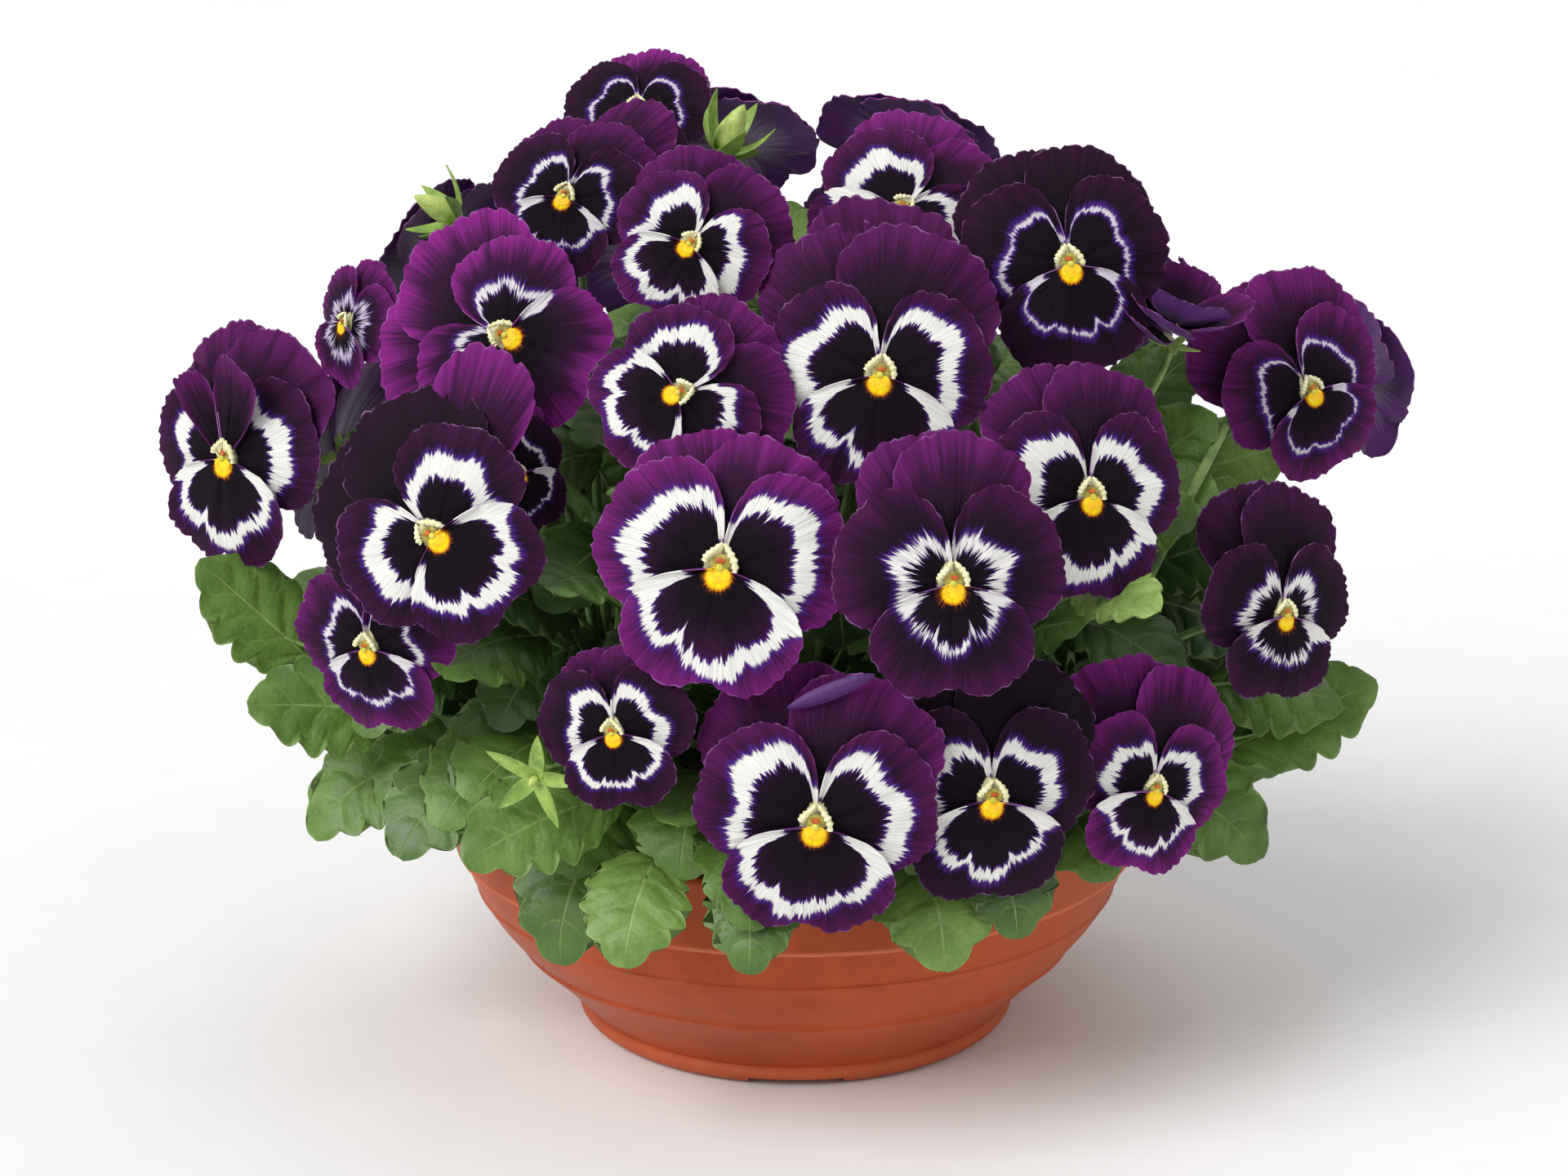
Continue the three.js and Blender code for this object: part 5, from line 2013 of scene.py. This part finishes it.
@dataclass(frozen=True)
class SoilBed:
    """The potting soil, in millimetres: its height in the middle and at the rim's radius, its wall and its crumbs.

    wall goes up from the bowl's floor, as radius and height. The top goes in from the radius reach, and rings is its
    number of rings of points.
    """

    crown: float = 91.0
    edge: float = 84.0
    rim: float = 127.0
    reach: float = 118.0
    wall: tuple[tuple[float, float], ...] = (
        (68.0, 5.9), (90.0, 26.0), (107.5, 44.8), (115.1, 58.0), (118.9, 69.0), (119.6, 80.0),
    )
    rings: int = 36
    sides: int = 96
    crumbs: int = 420
    seed: int = 7

    def height(self, x: np.ndarray, y: np.ndarray) -> np.ndarray:
        """The height of its crown.

        Args:
            x, y: places in metres.

        Returns:
            The heights there, in metres.
        """
        share = np.hypot(x, y) / (self.rim * MM)
        bumps = np.sin(x * 410 + 1.3) * np.sin(y * 370 - 0.4) + 0.6 * np.sin(x * 930 + 2 * np.sin(y * 700))
        return (self.crown - (self.crown - self.edge) * share**2) * MM + 0.8 * MM * bumps

    def build(self, wardrobe: "Wardrobe") -> bpy.types.Object:
        """Builds the soil.

        Args:
            wardrobe: the finishes.

        Returns:
            The piece that stands for the soil's solid.
        """
        draft = Draft()
        turns = np.linspace(0, 2 * np.pi, self.sides, endpoint=False)
        points = []
        for radius, height in self.wall:
            x, y = radius * MM * np.cos(turns), radius * MM * np.sin(turns)
            points.append(np.stack([x, y, np.full(self.sides, height * MM)], axis=-1))
        for radius in np.linspace(self.reach, 3, self.rings):
            x, y = radius * MM * np.cos(turns), radius * MM * np.sin(turns)
            points.append(np.stack([x, y, self.height(x, y)], axis=-1))
        faces = wrap(len(points), self.sides)
        draft.add(np.concatenate(points), faces, [0] * len(faces))
        draw = np.random.default_rng(self.seed)
        for _ in range(self.crumbs):
            angle, radius = draw.uniform(0, 2 * np.pi), (self.reach - 4) * MM * math.sqrt(draw.uniform(0.1, 1))
            x, y = radius * math.cos(angle), radius * math.sin(angle)
            size = draw.uniform(0.9, 2.4) * MM
            at = np.array([x, y, float(self.height(np.array(x), np.array(y))) + 0.2 * size])
            tilt = turn_to(unit(draw.normal(size=3) + np.array([0, 0, 1.5])))
            add_drop(draft, ball(size, draw.uniform(0.5, 0.9), 4), 6, 0, tilt, at)
        return settle(draft.build("potting_soil", [wardrobe.soil]), ["soil"])


# ---------- the studio ----------


@dataclass(frozen=True)
class SoftLight:
    """A light that is the same all over the studio.

    way is the direction that it comes from, softness the angle that it fills, in degrees, and strength is in watts for
    each square metre.
    """

    name: str
    way: tuple[float, float, float]
    softness: float
    strength: float


@dataclass(frozen=True)
class Studio:
    """The camera, the pale floor and the soft lights."""

    camera_at: tuple[float, float, float] = (-0.00426, -1.43598, 0.59446)
    pitch: float = 16.8
    lens: float = 95.6
    sensor: float = 36.0
    clip_end: float = 50.0
    floor_half: float = 6.0
    sky: float = 0.46
    lights: tuple[SoftLight, ...] = (
        SoftLight("key_light", (-1.15, -1.0, 1.35), 40.0, 2.5),
        SoftLight("fill_light", (1.4, -0.9, 0.9), 60.0, 0.4),
        SoftLight("top_light", (0.3, 0.6, 1.6), 40.0, 0.5),
    )

    def aim_camera(self) -> None:
        """Makes the camera and makes it the scene's own."""
        camera = bpy.data.cameras.new("studio_camera")
        camera.lens, camera.sensor_width, camera.clip_end = self.lens, self.sensor, self.clip_end
        holder = bpy.data.objects.new("studio_camera", camera)
        holder.location = self.camera_at
        holder.rotation_euler = (math.radians(90 - self.pitch), 0.0, 0.0)
        bpy.context.scene.collection.objects.link(holder)
        bpy.context.scene.camera = holder

    def lay_floor(self, material: bpy.types.Material) -> None:
        """Lays the floor under the planter.

        Args:
            material: its finish.
        """
        half = self.floor_half
        mesh = bpy.data.meshes.new("pale_floor")
        mesh.from_pydata([(-half, -half, 0), (half, -half, 0), (half, half, 0), (-half, half, 0)], [], [(0, 1, 2, 3)])
        mesh.materials.append(material)
        floor = bpy.data.objects.new("pale_floor", mesh)
        bpy.context.scene.collection.objects.link(floor)

    def hang(self, light: SoftLight) -> None:
        """Adds one of the lights.

        Args:
            light: the light.
        """
        lamp = bpy.data.lights.new(light.name, "SUN")
        lamp.energy, lamp.angle = light.strength, math.radians(light.softness)
        holder = bpy.data.objects.new(light.name, lamp)
        holder.location = light.way
        holder.rotation_euler = (-Vector(light.way)).to_track_quat("-Z", "Y").to_euler()
        bpy.context.scene.collection.objects.link(holder)

    def light(self) -> None:
        """Lights the scene."""
        world = bpy.data.worlds.new("studio_light")
        world.use_nodes = True
        backdrop = world.node_tree.nodes["Background"].inputs
        backdrop["Color"].default_value = (1.0, 1.0, 1.0, 1.0)
        backdrop["Strength"].default_value = self.sky
        bpy.context.scene.world = world
        for light in self.lights:
            self.hang(light)
        bpy.context.scene.view_settings.view_transform = "Standard"


class Wardrobe:
    """Every finish of the planter, built once."""

    def __init__(self) -> None:
        """Builds the materials."""
        self.petal_face = PetalFace("petal_face").make()
        self.petal_back = PetalBack("petal_back").make()
        self.lip = Flesh("yellow_lip", paint(252, 186, 12), paint(255, 222, 26), 500.0).make()
        self.beard = Flesh("cream_beard", paint(226, 220, 160), paint(244, 241, 206), 500.0).make()
        self.stigma = Flesh("stigma_green", paint(196, 190, 50), paint(222, 216, 90), 400.0, Gloss(0.3, 0.5)).make()
        self.gullet = Flesh("throat_olive", paint(120, 108, 36), paint(190, 176, 78), 500.0).make()
        self.mark = Flesh("throat_mark", paint(176, 70, 22), paint(214, 110, 40), 500.0).make()
        self.leaf = LeafGreen("pansy_leaf").make()
        self.stalk = Flesh("stalk_green", paint(92, 124, 62), paint(132, 160, 88), 120.0, Gloss(0.42, 0.45)).make()
        self.sepal = Flesh("sepal_green", paint(112, 146, 62), paint(158, 188, 92), 200.0, Gloss(0.45, 0.4)).make()
        self.bud = Flesh("bud_green", paint(150, 176, 84), paint(204, 220, 130), 200.0, Gloss(0.45, 0.4)).make()
        self.terracotta = Terracotta("terracotta_plastic").make()
        self.soil = Earth("potting_soil").make()
        self.floor = FloorPaint("pale_floor").make()

    def bloom_finishes(self) -> list[bpy.types.Material]:
        """A bloom's finishes, in the order of BloomFinish."""
        return [self.petal_face, self.petal_back, self.lip, self.beard, self.stigma, self.gullet, self.mark]

    def plant_finishes(self) -> list[bpy.types.Material]:
        """A plant's finishes, in the order of PlantFinish."""
        return [self.leaf, self.stalk, self.sepal, self.bud]


def main() -> None:
    """Builds and dresses the planter and sets up the studio."""
    logging.basicConfig(level=logging.INFO, format="%(name)s: %(message)s")
    wardrobe = Wardrobe()
    studio = Studio()
    studio.aim_camera()
    studio.lay_floor(wardrobe.floor)
    studio.light()
    Bowl().build(wardrobe)
    SoilBed().build(wardrobe)
    throats = {bloom.number: bloom.throat() for bloom in BLOOMS}
    for bloom in BLOOMS:
        bloom.build(wardrobe)
    leaves = lay_out(LEAF_RINGS, FINE_BLADE) + lay_out(INFILL_RINGS, PLAIN_BLADE) + lay_sprigs()
    for number in range(PLANTS):
        Plant(number, throats).build(leaves, wardrobe)


if __name__ == "__main__":
    main()
